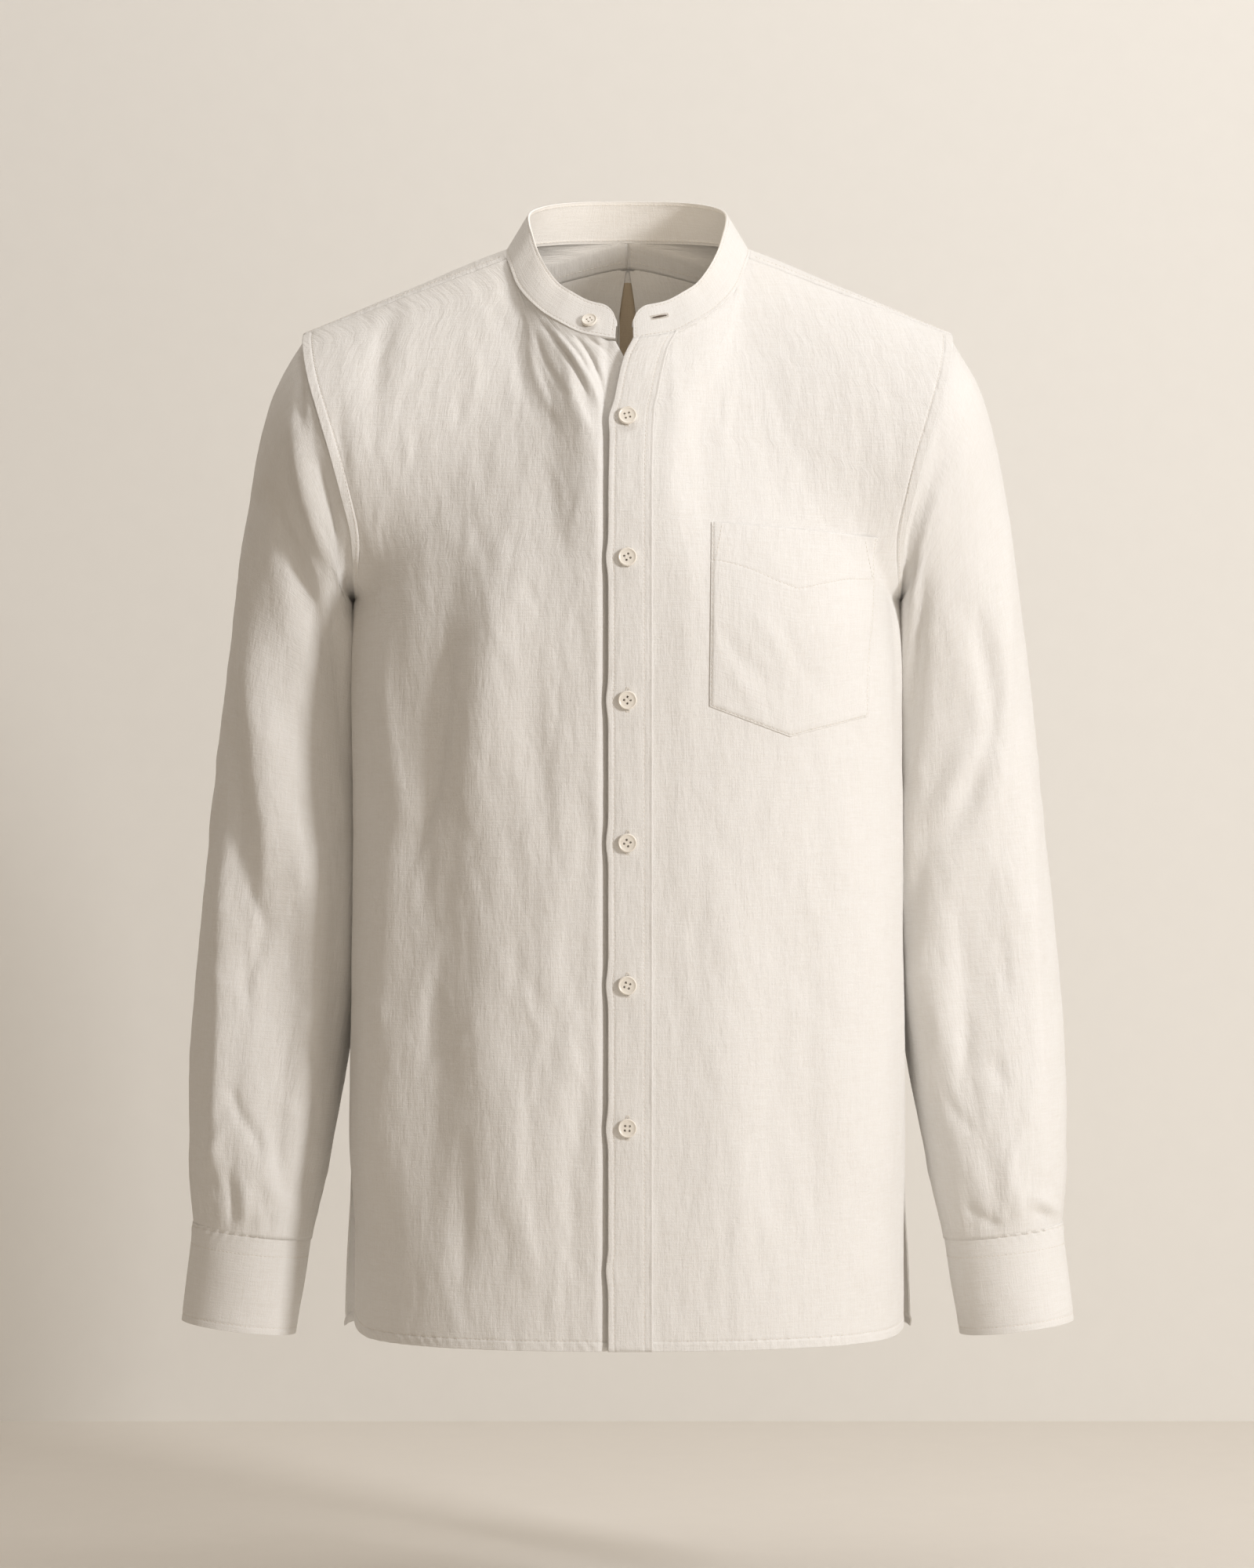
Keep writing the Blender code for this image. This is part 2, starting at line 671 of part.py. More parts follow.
def button(name, point, normal, radius, look):
    """A turned button with a raised rim and a dished middle, its back on the cloth."""
    profile = (
        (0.0, 0.0), (0.80, 0.0), (1.0, 0.40), (1.0, 0.78), (0.88, 1.0), (0.66, 0.94), (0.56, 0.66), (0.0, 0.66),
    )
    turned = bmesh.new()
    corners = [turned.verts.new((reach * radius, 0, height * BUTTON_THICKNESS)) for reach, height in profile]
    edges = [turned.edges.new(pair) for pair in zip(corners, corners[1:])]
    bmesh.ops.spin(turned, geom=corners + edges, cent=(0, 0, 0), axis=(0, 0, 1),
                   angle=math.tau, steps=14, use_merge=True)
    bmesh.ops.remove_doubles(turned, verts=turned.verts, dist=0.00001)
    bmesh.ops.recalc_face_normals(turned, faces=turned.faces)
    mesh = bpy.data.meshes.new(name)
    turned.to_mesh(mesh)
    turned.free()
    item = add_object(name, mesh, *look)
    item.location = point
    item.rotation_mode = "QUATERNION"
    item.rotation_quaternion = normal.to_track_quat("Z", "Y")
    return item


def seated(place, u, v, thickness):
    """The point and direction for a button whose back lies on a piece's outer face."""
    normal = normal_of(place, u, v)
    return place(u, v) + normal * (thickness / 2 + SEAM_GAP), normal


def main():
    clear_scene()
    garment = bpy.data.objects.new("shirt", None)
    bpy.context.scene.collection.objects.link(garment)
    linen = (make_material("linen", LINEN, 0.9), garment)
    shell = (make_material("button_shell", SHELL, 0.35), garment)

    cloth("front_left", front_left, FRONT_COLUMNS, 25, CLOTH, linen, PANEL_INSET)
    cloth("front_right", front_right, FRONT_COLUMNS, 25, CLOTH, linen, PANEL_INSET)
    cloth("back", back, 2 * BACK_HALF_COLUMNS, 22, CLOTH, linen, PANEL_INSET)
    cloth("yoke_left", yoke, 10, 9, CLOTH, linen, YOKE_INSET)
    cloth("yoke_right", mirrored(yoke), 10, 9, CLOTH, linen, YOKE_INSET)
    cloth("collar_band", collar, 48, 3, STIFF_CLOTH, linen)
    cloth("placket", placket, 2, 25, CLOTH, linen, PLACKET_INSET)
    cloth("pocket", pocket, 8, 8, CLOTH, linen)
    cloth("sleeve_left", sleeve, 24, 24, CLOTH, linen, close=True)
    cloth("sleeve_right", mirrored(sleeve), 24, 24, CLOTH, linen, close=True)
    cloth("cuff_left", cuff, 32, 3, STIFF_CLOTH, linen)
    cloth("cuff_right", mirrored(cuff), 32, 3, STIFF_CLOTH, linen)
    cloth("sleeve_placket_left", sleeve_placket, 3, 6, CLOTH, linen)
    cloth("sleeve_placket_right", mirrored(sleeve_placket), 3, 6, CLOTH, linen)

    for number in range(FRONT_BUTTONS):
        height = BUTTON_TOP_Z - number * BUTTON_SPACING
        v = front_share_at(0.0, height)[1]
        across = -FRONT_LEFT(0, v).x / PLACKET_WIDTH
        button(f"button_{number + 1}", *seated(placket, across, v, CLOTH), BUTTON_RADIUS, shell)
    button("button_collar", *seated(collar, 0.962, 0.37, STIFF_CLOTH), COLLAR_BUTTON_RADIUS, shell)
    cuff_at = (1 - CUFF_BUTTON_INSET / (CUFF_GIRTH + CUFF_OVERLAP), 0.45)
    button("button_cuff_left", *seated(cuff, *cuff_at, STIFF_CLOTH), COLLAR_BUTTON_RADIUS, shell)
    button("button_cuff_right", *seated(mirrored(cuff), 1 - cuff_at[0], cuff_at[1], STIFF_CLOTH),
           COLLAR_BUTTON_RADIUS, shell)


main()
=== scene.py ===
# %% [markdown]
# # A linen shirt with a mandarin collar
# The shirt is filled out as if worn, with nobody in it. Its solids come packed, as a frame that is
# never moved. This lesson lays finer cloth on them: the same forms, with creases, seams, stitches,
# buttonholes and woven linen. Every size is in metres, with +Z up and the front facing -Y.

# %% Load the frame
import math

import bmesh
import bpy
import numpy as np
from mathutils import Matrix, Vector


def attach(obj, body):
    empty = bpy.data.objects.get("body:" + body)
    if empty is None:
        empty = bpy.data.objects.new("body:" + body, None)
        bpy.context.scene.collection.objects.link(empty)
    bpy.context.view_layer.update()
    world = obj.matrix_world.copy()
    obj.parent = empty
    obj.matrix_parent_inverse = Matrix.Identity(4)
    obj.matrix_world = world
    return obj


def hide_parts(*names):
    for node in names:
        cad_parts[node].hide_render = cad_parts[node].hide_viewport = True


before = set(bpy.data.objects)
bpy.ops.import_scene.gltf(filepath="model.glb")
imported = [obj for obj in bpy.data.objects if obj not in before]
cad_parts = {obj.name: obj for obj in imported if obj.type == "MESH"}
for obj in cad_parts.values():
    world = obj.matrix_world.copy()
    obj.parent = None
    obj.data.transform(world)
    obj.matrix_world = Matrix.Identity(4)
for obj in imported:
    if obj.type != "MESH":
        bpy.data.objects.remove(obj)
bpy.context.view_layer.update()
BODY_NAME = "root"

# %% [markdown]
# ## Camera, floor and light
# A shirt on a ghost form is shot level, from the front, with a long lens so that its sides stay
# straight. The camera stands 3.2 m away at the height of the waist. A wall and a floor in the same
# warm paint stand behind it. One soft key light from the wearer's left, a little above the middle,
# models the folds, and a weak wide fill keeps the other side readable. A long lamp overhead washes
# the wall. The inside of the neck gets a small lamp of its own, because the body's shadow fills it.

# %% Camera
CAMERA_DISTANCE = 3.2
CAMERA_HEIGHT = -0.362
FRAME_HEIGHT = 1.08            # how much of the shirt's plane the picture's long side takes in
SENSOR = 0.036

camera_data = bpy.data.cameras.new("camera")
camera_data.sensor_fit = "VERTICAL"
camera_data.sensor_height = SENSOR * 1000
camera_data.lens = SENSOR * 1000 * CAMERA_DISTANCE / FRAME_HEIGHT
camera = bpy.data.objects.new("camera", camera_data)
camera.location = (-0.0005, -CAMERA_DISTANCE, CAMERA_HEIGHT)
camera.rotation_euler = (math.pi / 2, 0, 0)
bpy.context.scene.collection.objects.link(camera)
bpy.context.scene.camera = camera
print("lens", round(camera_data.lens, 1), "mm")


# %% Lights
def soft_light(name, place, aim, size, power, colour):
    data = bpy.data.lights.new(name, "AREA")
    data.shape = "RECTANGLE"
    data.size, data.size_y = size
    data.energy = power
    data.color = colour
    lamp = bpy.data.objects.new(name, data)
    lamp.location = place
    lamp.rotation_mode = "QUATERNION"
    lamp.rotation_quaternion = (Vector(aim) - Vector(place)).to_track_quat("-Z", "Y")
    bpy.context.scene.collection.objects.link(lamp)


SHIRT_MIDDLE = (0.0, 0.0, -0.35)
LAMPS = (                 # name, place, aim, size, power in watts, colour
    ("key", (1.86, -1.68, 0.38), SHIRT_MIDDLE, (0.35, 0.60), 40.5, (1.0, 0.985, 0.985)),
    ("front_fill", (0.3, -3.6, 0.9), SHIRT_MIDDLE, (2.4, 1.8), 8.2, (1.0, 0.93, 0.85)),
    ("wall_wash", (0.3, -0.3, 1.9), (0.0, 1.0, -0.2), (2.6, 0.6), 23, (1.0, 0.985, 0.97)),
    ("neck_lamp", (0.0, -0.050, 0.026), (0.0, 0.085, -0.014), (0.06, 0.03), 0.050,
     (1.0, 0.88, 0.73)),
)
for lamp in LAMPS:
    soft_light(*lamp)

world = bpy.data.worlds.new("studio")
world.use_nodes = True
sky = world.node_tree.nodes["Background"].inputs
sky["Color"].default_value = (1.0, 0.82, 0.63, 1)
sky["Strength"].default_value = 0.24
bpy.context.scene.world = world
bpy.context.scene.view_settings.view_transform = "Standard"

# %% Wall and floor
WALL_Y = 1.0
FLOOR_Z = -0.938
BACKDROP_HALF = 8.0
WALL_COLOUR = (0.862, 0.846, 0.808)
FLOOR_COLOUR = (0.822, 0.782, 0.722)


def group_node(nodes, kind, **values):
    """A new shader node; values are its own settings."""
    node = nodes.new("ShaderNode" + kind)
    for key, value in values.items():
        setattr(node, key, value)
    return node


def set_inputs(node, values):
    for name, value in values.items():
        node.inputs[name].default_value = value


def new_material(name, roughness):
    """A material, its node tree and its shader."""
    material = bpy.data.materials.new(name)
    material.use_nodes = True
    shader = material.node_tree.nodes["Principled BSDF"]
    shader.inputs["Roughness"].default_value = roughness
    return material, material.node_tree, shader


def tinted(tree, shader, first, second, factor):
    """Colour a shader from one tone to another by a factor."""
    tint = group_node(tree.nodes, "Mix", data_type="RGBA")
    set_inputs(tint, {"A": (*first, 1), "B": (*second, 1)})
    tree.links.new(factor, tint.inputs["Factor"])
    tree.links.new(tint.outputs["Result"], shader.inputs["Base Color"])


def painted(name, colour, grain):
    """Matt paint with a faint roller texture, clear from behind so that the shirt's back shows."""
    material, tree, shader = new_material(name, 0.85)
    nodes, links = tree.nodes, tree.links
    noise = group_node(nodes, "TexNoise")
    set_inputs(noise, {"Scale": grain, "Detail": 6})
    links.new(group_node(nodes, "TexCoord").outputs["Object"], noise.inputs["Vector"])
    tinted(tree, shader, colour, [c * 0.97 for c in colour], noise.outputs["Fac"])
    bump = group_node(nodes, "Bump")
    set_inputs(bump, {"Distance": 0.0004, "Strength": 0.3})
    links.new(noise.outputs["Fac"], bump.inputs["Height"])
    links.new(bump.outputs["Normal"], shader.inputs["Normal"])
    one_sided = group_node(nodes, "MixShader")
    links.new(group_node(nodes, "NewGeometry").outputs["Backfacing"], one_sided.inputs["Fac"])
    links.new(shader.outputs["BSDF"], one_sided.inputs[1])
    links.new(group_node(nodes, "BsdfTransparent").outputs["BSDF"], one_sided.inputs[2])
    links.new(one_sided.outputs["Shader"], nodes["Material Output"].inputs["Surface"])
    return material


def backdrop_plane(name, matrix, colour):
    sheet = bmesh.new()
    bmesh.ops.create_grid(sheet, x_segments=1, y_segments=1, size=BACKDROP_HALF, matrix=matrix)
    mesh = bpy.data.meshes.new(name)
    sheet.to_mesh(mesh)
    sheet.free()
    mesh.materials.append(painted(name + "_paint", colour, 40))
    plane = bpy.data.objects.new(name, mesh)
    bpy.context.scene.collection.objects.link(plane)


WALL_STAND = Matrix.Translation((0, WALL_Y, 0)) @ Matrix.Rotation(math.pi / 2, 4, "X")
backdrop_plane("wall", WALL_STAND, WALL_COLOUR)
FLOOR_PLACE = Matrix.Translation((0, WALL_Y - BACKDROP_HALF + 0.01, FLOOR_Z))
backdrop_plane("floor", FLOOR_PLACE, FLOOR_COLOUR)

# %% [markdown]
# ## The form of the shirt
# Each panel is cut flat, and takes its form from the seams that bound it. The tables give those
# seams and the sections between them, as in the solids, so that the fine cloth lies on them. u runs
# across a piece and v along it, from 0 to 1. All the forms work on whole arrays of points at once.

# %% Sizes of the form
CLOTH = 0.0012            # one layer of linen with its turned edge
STIFF_CLOTH = 0.0017      # collar and cuffs: two layers over an interlining
LAYER_GAP = 0.0004
HEM_Z = -0.737
ARMPIT_Z = -0.237
HEM_RISE_LEFT = 0.009
HEM_RISE_RIGHT = 0.016
HEM_CURVE = 0.018
HALF_WIDTH_OF_CLOTH = 0.255
SECTION_POWER = 2.3
CHEST_TURN = 57
TOP_EASE = 0.30
NECK_HALF_WIDTH = 0.083
NECK_FRONT = 0.083
NECK_BACK = 0.072
COLLAR_HALF_WIDTH = 0.0680
COLLAR_FRONT = 0.0665
COLLAR_BACK = 0.0620
COLLAR_END_RIGHT = -0.0084
COLLAR_END_LEFT = 0.0037
COLLAR_ROUNDING = 0.014
SHOULDER_Z = -0.052
RIDGE_Y = 0.004
ARMHOLE_DEPTH = 0.078
SHOULDER_SEAM_ANGLE = 80.0
YOKE_TIP_FRONT = 15.0
YOKE_TIP_BACK = -36.0
YOKE_CENTRE = np.array((0.0, 0.0850, 0.0030))
LAP_CURVE = 0.9
PLACKET_WIDTH = 0.0295
CUFF_START = 0.77         # where on the wrist it begins, as a share of once round
CUFF_TURN = 1.0 + 0.030 / 0.247      # once round and a 30 mm lap
ARMPIT_V = 0.70           # how far up a front or the back the armhole begins
PANEL_HEIGHT = 0.714      # about that of a front, to turn v into metres
NECK_SHARE = 6 / 15       # the neckline's share of the top of a front, the rest is shoulder seam


class Table:
    """Rows of sizes under named columns, read smoothly at any values of the first column."""

    def __init__(self, names, *rows):
        self.names = names.split()
        self.rows = np.array(rows)

    def at(self, place, name):
        keys = self.rows[:, 0]
        values = self.rows[:, self.names.index(name)]
        low = np.maximum(np.arange(len(keys)) - 1, 0)
        high = np.minimum(np.arange(len(keys)) + 1, len(keys) - 1)
        slopes = (values[high] - values[low]) / (keys[high] - keys[low])
        place = np.clip(place, keys[0], keys[-1])
        index = np.clip(np.searchsorted(keys, place) - 1, 0, len(keys) - 2)
        span = keys[index + 1] - keys[index]
        t = (place - keys[index]) / span
        start_slope, end_slope = slopes[index] * span, slopes[index + 1] * span
        start = (2 * t**3 - 3 * t**2 + 1) * values[index] + (t**3 - 2 * t**2 + t) * start_slope
        end = (3 * t**2 - 2 * t**3) * values[index + 1] + (t**3 - t**2) * end_slope
        return start + end


BODY = Table(
    "z front back",
    (-0.740, 0.1310, 0.1270), (-0.600, 0.1290, 0.1250), (-0.450, 0.1265, 0.1215),
    (-0.330, 0.1275, 0.1210), (-0.235, 0.1270, 0.1225), (-0.170, 0.1190, 0.1215),
    (-0.110, 0.1010, 0.1170), (-0.0635, 0.0830, 0.1090), (-0.0300, 0.0700, 0.0990),
    (0.0030, 0.0600, 0.0850),
)
SIDE = Table(
    "z front_x front_y back_x back_y",
    (-0.740, 0.1878, -0.0120, 0.1955, 0.0180), (-0.690, 0.1883, -0.0070, 0.1935, 0.0100),
    (-0.645, 0.1889, -0.0008, 0.1905, 0.0008), (-0.560, 0.1882, 0.0, 0.1884, 0.0),
    (-0.450, 0.1868, 0.0, 0.1868, 0.0), (-0.330, 0.1870, 0.0, 0.1870, 0.0),
    (-0.237, 0.1878, 0.0, 0.1878, 0.0),
)
ARMHOLE = Table(
    "z x",
    (-0.2370, 0.1862), (-0.1960, 0.1872), (-0.1690, 0.1932), (-0.1420, 0.2003), (-0.1150, 0.2085),
    (-0.0875, 0.2168), (-0.0650, 0.2215), (-0.0520, 0.2225),
)
NECK = Table(
    "angle seam_z top_z",
    (0.0, -0.0635, -0.0410), (21.0, -0.0585, -0.0365), (34.0, -0.0497, -0.0290),
    (45.0, -0.0410, -0.0210), (64.0, -0.0215, 0.0015), (75.0, -0.0060, 0.0160),
    (90.0, 0.0045, 0.0285), (120.0, 0.0125, 0.0395), (150.0, 0.0180, 0.0455),
    (180.0, 0.0200, 0.0470),
)
EDGE = Table(
    "z left right",
    (-0.740, -0.0130, 0.0120), (-0.200, -0.0130, 0.0120), (-0.157, -0.0128, 0.0120),
    (-0.120, -0.0114, 0.0110), (-0.108, -0.0093, 0.0085), (-0.078, -0.0030, -0.0010),
    (-0.0635, 0.0037, -0.0084),
)
SLEEVE = Table(
    "v outer_x outer_z inner_x inner_z middle_y depth",
    (0.00, 0.2225, -0.0520, 0.1862, -0.2370, 0.004, 0.0780),
    (0.05, 0.2305, -0.0680, 0.1890, -0.2382, 0.007, 0.0795),
    (0.10, 0.2405, -0.0875, 0.1902, -0.2400, 0.012, 0.0800),
    (0.16, 0.2500, -0.1140, 0.1900, -0.2435, 0.019, 0.0800),
    (0.22, 0.2572, -0.1440, 0.1890, -0.2500, 0.026, 0.0790),
    (0.29, 0.2640, -0.1830, 0.1878, -0.2640, 0.033, 0.0770),
    (0.37, 0.2712, -0.2330, 0.1868, -0.2880, 0.038, 0.0745),
    (0.45, 0.2788, -0.2870, 0.1862, -0.3230, 0.041, 0.0720),
    (0.54, 0.2855, -0.3500, 0.1858, -0.3700, 0.042, 0.0700),
    (0.64, 0.2925, -0.4200, 0.1864, -0.4290, 0.039, 0.0670),
    (0.74, 0.2990, -0.4920, 0.1896, -0.4990, 0.033, 0.0630),
    (0.83, 0.3028, -0.5560, 0.1968, -0.5630, 0.022, 0.0590),
    (0.91, 0.3020, -0.6100, 0.2068, -0.6190, 0.011, 0.0540),
    (0.96, 0.3003, -0.6420, 0.2132, -0.6510, 0.005, 0.0480),
    (1.00, 0.2985, -0.6620, 0.2182, -0.6715, 0.001, 0.0390),
)
CUFF = Table(
    "v outer_x outer_z inner_x inner_z middle_y depth",
    (0.0, 0.2986, -0.6632, 0.2183, -0.6727, 0.001, 0.0388),
    (1.0, 0.3060, -0.7300, 0.2293, -0.7395, -0.003, 0.0370),
)
PLEAT = Table(
    "z gap fold rise",
    (-0.740, 0.0480, 0.0180, 0.0035), (-0.430, 0.0420, 0.0180, 0.0050),
    (-0.250, 0.0300, 0.0210, 0.0062), (-0.150, 0.0175, 0.0240, 0.0062),
    (-0.060, 0.0092, 0.0250, 0.0056), (-0.030, 0.0066, 0.0250, 0.0052),
    (0.003, 0.0016, 0.0250, 0.0046),
)

# %% Soft folds of the solids: start, end, half width and height
FRONT_RIGHT_FOLDS = (
    (0.62, 0.52, 0.70, 0.72, 0.018, 0.0030), (0.58, 0.28, 0.56, 0.60, 0.022, -0.0040),
    (0.80, 0.10, 0.86, 0.55, 0.024, 0.0035), (0.30, 0.04, 0.36, 0.40, 0.030, 0.0030),
    (0.16, 0.90, 0.26, 0.98, 0.009, -0.0030),
)
FRONT_LEFT_FOLDS = (
    (0.42, 0.05, 0.46, 0.50, 0.030, -0.0030), (0.70, 0.08, 0.66, 0.42, 0.028, 0.0030),
    (0.88, 0.55, 0.80, 0.82, 0.020, -0.0030),
)
BACK_FOLDS = (
    (0.26, 0.02, 0.30, 0.52, 0.030, 0.0040), (0.74, 0.04, 0.69, 0.55, 0.032, 0.0040),
    (0.40, 0.02, 0.42, 0.40, 0.024, -0.0035), (0.61, 0.02, 0.58, 0.45, 0.024, -0.0035),
    (0.88, 0.60, 0.78, 0.80, 0.022, -0.0030), (0.12, 0.60, 0.22, 0.80, 0.022, -0.0030),
)
SLEEVE_FOLDS = (
    (0.10, 0.30, 0.26, 0.62, 0.016, 0.0040), (0.30, 0.12, 0.38, 0.52, 0.014, -0.0050),
    (0.13, 0.56, 0.17, 0.92, 0.014, 0.0035), (0.24, 0.66, 0.30, 0.90, 0.012, -0.0040),
    (0.72, 0.25, 0.62, 0.60, 0.016, -0.0040), (0.84, 0.60, 0.76, 0.88, 0.016, 0.0035),
    (0.66, 0.62, 0.72, 0.90, 0.012, -0.0035), (0.92, 0.88, 0.98, 0.96, 0.012, 0.0035),
)


# %% Helpers on arrays of points
def points(x, y, z):
    return np.stack(np.broadcast_arrays(x, y, z), axis=-1).astype(float)


def mix(low, high, share):
    return low + (high - low) * share


def blend(low, high, share):
    """Mix two sets of points by a share that varies over them."""
    return low + (high - low) * np.asarray(share)[..., None]


def smooth(share):
    share = np.clip(share, 0.0, 1.0)
    return share * share * (3 - 2 * share)


def unit(vectors):
    return vectors / np.maximum(np.linalg.norm(vectors, axis=-1, keepdims=True), 1e-12)


def normal_of(place, u, v, ring=False):
    """The direction out of the cloth. A ring, such as a sleeve, goes on past u 0 and 1."""
    step = 0.002
    if ring:
        across = place(u + step, v) - place(u - step, v)
    else:
        across = place(np.minimum(u + step, 1), v) - place(np.maximum(u - step, 0), v)
    along = place(u, np.minimum(v + step, 1)) - place(u, np.maximum(v - step, 0))
    return unit(np.cross(across, along))


def fold_height(folds, u, v, width, length):
    """How far soft folds lift a point; width and length turn u and v into metres."""
    lift = 0.0
    for start_u, start_v, end_u, end_v, half_width, height in folds:
        run_u, run_v = (end_u - start_u) * width, (end_v - start_v) * length
        at_u, at_v = (u - start_u) * width, (v - start_v) * length
        share = np.clip((at_u * run_u + at_v * run_v) / (run_u**2 + run_v**2), 0, 1)
        away = np.hypot(at_u - run_u * share, at_v - run_v * share) / half_width
        lift = lift + height * (0.35 + 0.65 * np.sin(np.pi * share)) * np.exp(-away * away)
    return lift


def share_at(place, x, v):
    """The u at which a panel that runs towards +X reaches x, by the secant rule."""
    x, v = np.broadcast_arrays(np.asarray(x, float), np.asarray(v, float))
    before, u = np.zeros(x.shape), np.full(x.shape, 0.5)
    miss_before, slope = place(before, v)[..., 0] - x, 0.19
    for _ in range(8):
        miss = place(u, v)[..., 0] - x
        step = u - before
        moved = np.abs(step) > 1e-7
        slope = np.where(moved, (miss - miss_before) / np.where(moved, step, 1), slope)
        before, miss_before = u, miss
        u = np.clip(u - miss / slope, 0, 1)
    return u


# %% The seams
def neck_ring(angle, half_width, front, back, column):
    """A ring about the neck, by degrees from the front centre."""
    turn = np.radians(angle)
    folded = np.abs((angle + 180) % 360 - 180)
    depth = np.where(np.cos(turn) > 0, front, back)
    return points(half_width * np.sin(turn), -depth * np.cos(turn), NECK.at(folded, column))


def neck_point(angle):
    """A point of the seam between body and collar."""
    return neck_ring(angle, NECK_HALF_WIDTH, NECK_FRONT, NECK_BACK, "seam_z")


def collar_top_point(angle):
    return neck_ring(angle, COLLAR_HALF_WIDTH, COLLAR_FRONT, COLLAR_BACK, "top_z")


def armhole_point(angle):
    """A point of the wearer's left armhole: 0 is its top, 90 its front and 180 the armpit."""
    turn = np.radians(angle)
    z = ARMPIT_Z + (SHOULDER_Z - ARMPIT_Z) * (1 + np.cos(turn)) / 2
    middle = RIDGE_Y * (1 + np.cos(turn)) / 2
    return points(ARMHOLE.at(z, "x"), middle - ARMHOLE_DEPTH * np.sin(turn), z)


def shoulder_seam(share):
    return blend(neck_point(SHOULDER_SEAM_ANGLE), armhole_point(YOKE_TIP_FRONT), share)


def yoke_seam(share):
    """The seam between yoke and back, from the centre back to the armhole."""
    end = armhole_point(YOKE_TIP_BACK)
    y = end[1] + (YOKE_CENTRE[1] - end[1]) * np.cos(share * np.pi / 2) ** 0.8
    return points(end[0] * share, y, mix(YOKE_CENTRE[2], end[2], share ** 1.25))


def front_top(edge_x):
    """The neckline and then the shoulder seam of a front whose neck edge is at edge_x."""
    start = math.degrees(math.asin(edge_x / NECK_HALF_WIDTH))

    def top(u):
        on_neck = neck_point(mix(start, SHOULDER_SEAM_ANGLE, np.minimum(u / NECK_SHARE, 1)))
        on_shoulder = shoulder_seam(np.maximum((u - NECK_SHARE) / (1 - NECK_SHARE), 0))
        return np.where(np.asarray(u < NECK_SHARE)[..., None], on_neck, on_shoulder)
    return top


# %% The body's sections
def section_shape(turn):
    across, out = np.sin(turn), np.cos(turn)
    reach = (np.abs(across) ** SECTION_POWER + np.abs(out) ** SECTION_POWER) ** (-1 / SECTION_POWER)
    return reach * across, reach * out


def section(share, inner_x, side, middle_y, end_turn):
    """A body section from inner_x, near the centre line, to its side point."""
    end_across, end_out = section_shape(end_turn)
    half_width = side[..., 0] / end_across
    depth = (middle_y - side[..., 1]) / (1 - end_out)
    across, out = section_shape(mix(np.arcsin(inner_x / half_width), end_turn, share))
    return half_width * across, middle_y - depth * (1 - out)


def eased_top(top, u, spread):
    """The top line, its corner rounded over a spread of u; its ends stay where they are."""
    spread = np.minimum(spread, np.minimum(u, 1 - u))
    return sum(top(u + spread * step) for step in (-1, -0.5, 0, 0.5, 1)) / 5


def body_cloth(front, top, top_z, edge, armhole_start, hem_rise=0.0):
    """The form of one half of the front or back, on the wearer's left, from the hem up."""
    column = "front" if front else "back"
    sign = -1.0 if front else 1.0
    armpit_v = ARMPIT_V
    armpit_angle = 180.0 * -sign

    def plain(u, v):
        below = v <= armpit_v
        share = np.clip((v - armpit_v) / (1 - armpit_v), 0, 1)
        centre_z = np.where(below, mix(HEM_Z, ARMPIT_Z, v / armpit_v), mix(ARMPIT_Z, top_z, share))
        side_below = points(*(SIDE.at(centre_z, column + axis) for axis in ("_x", "_y")), centre_z)
        armpit = smooth((v / armpit_v - 0.86) / 0.14)
        side_below = blend(side_below, armhole_point(armpit_angle), armpit)
        side_above = armhole_point(mix(armpit_angle, armhole_start, share ** 1.1))
        side = np.where(below[..., None], side_below, side_above)
        end_turn = np.radians(np.where(below, 90, mix(90, CHEST_TURN, smooth(share / 0.6))))
        inner_x = edge(centre_z)
        middle_y = sign * BODY.at(centre_z, column)
        z = mix(centre_z, side[..., 2], u * u * (1.6 - 0.6 * u))
        point = points(*section(u, inner_x, side, middle_y, end_turn), z)
        inner = points(*section(0, inner_x, side, middle_y, end_turn), centre_z)
        weight = smooth((v - 0.62) / 0.38)
        line = eased_top(top, u, TOP_EASE * (1 - weight**2))
        eased = blend(line + inner - top(np.zeros_like(u)), line + side - top(np.ones_like(u)), u)
        point = blend(point, eased, weight ** 1.5)
        if front:
            shared = 1 - smooth((np.abs(point[..., 0]) - 0.022) / 0.030)
            shared = shared * (1 - smooth((v - 0.88) / 0.08))
            lap_y = -BODY.at(point[..., 2], column) + LAP_CURVE * point[..., 0] ** 2
            point[..., 1] = mix(point[..., 1], lap_y, shared)
        reach = (1 - u) * HALF_WIDTH_OF_CLOTH
        point[..., 2] += hem_rise * np.exp(-reach / HEM_CURVE) * smooth(1 - v / 0.08)
        return point

    def place(u, v):
        """The plain form, eased over where the side seam becomes the armhole."""
        u, v = np.broadcast_arrays(np.asarray(u, float), np.asarray(v, float))
        point = plain(u, v)
        near = np.abs(v - armpit_v) < 0.07
        if near.any():
            near_u, near_v = u[near], v[near]
            spread = 0.03 * (1 - ((near_v - armpit_v) / 0.07) ** 2) * (1 - near_u**4)
            beside = sum(plain(near_u, near_v + spread * step) for step in (-1, -0.5, 0.5, 1))
            point[near] = (point[near] + beside) / 5
        return point
    return place


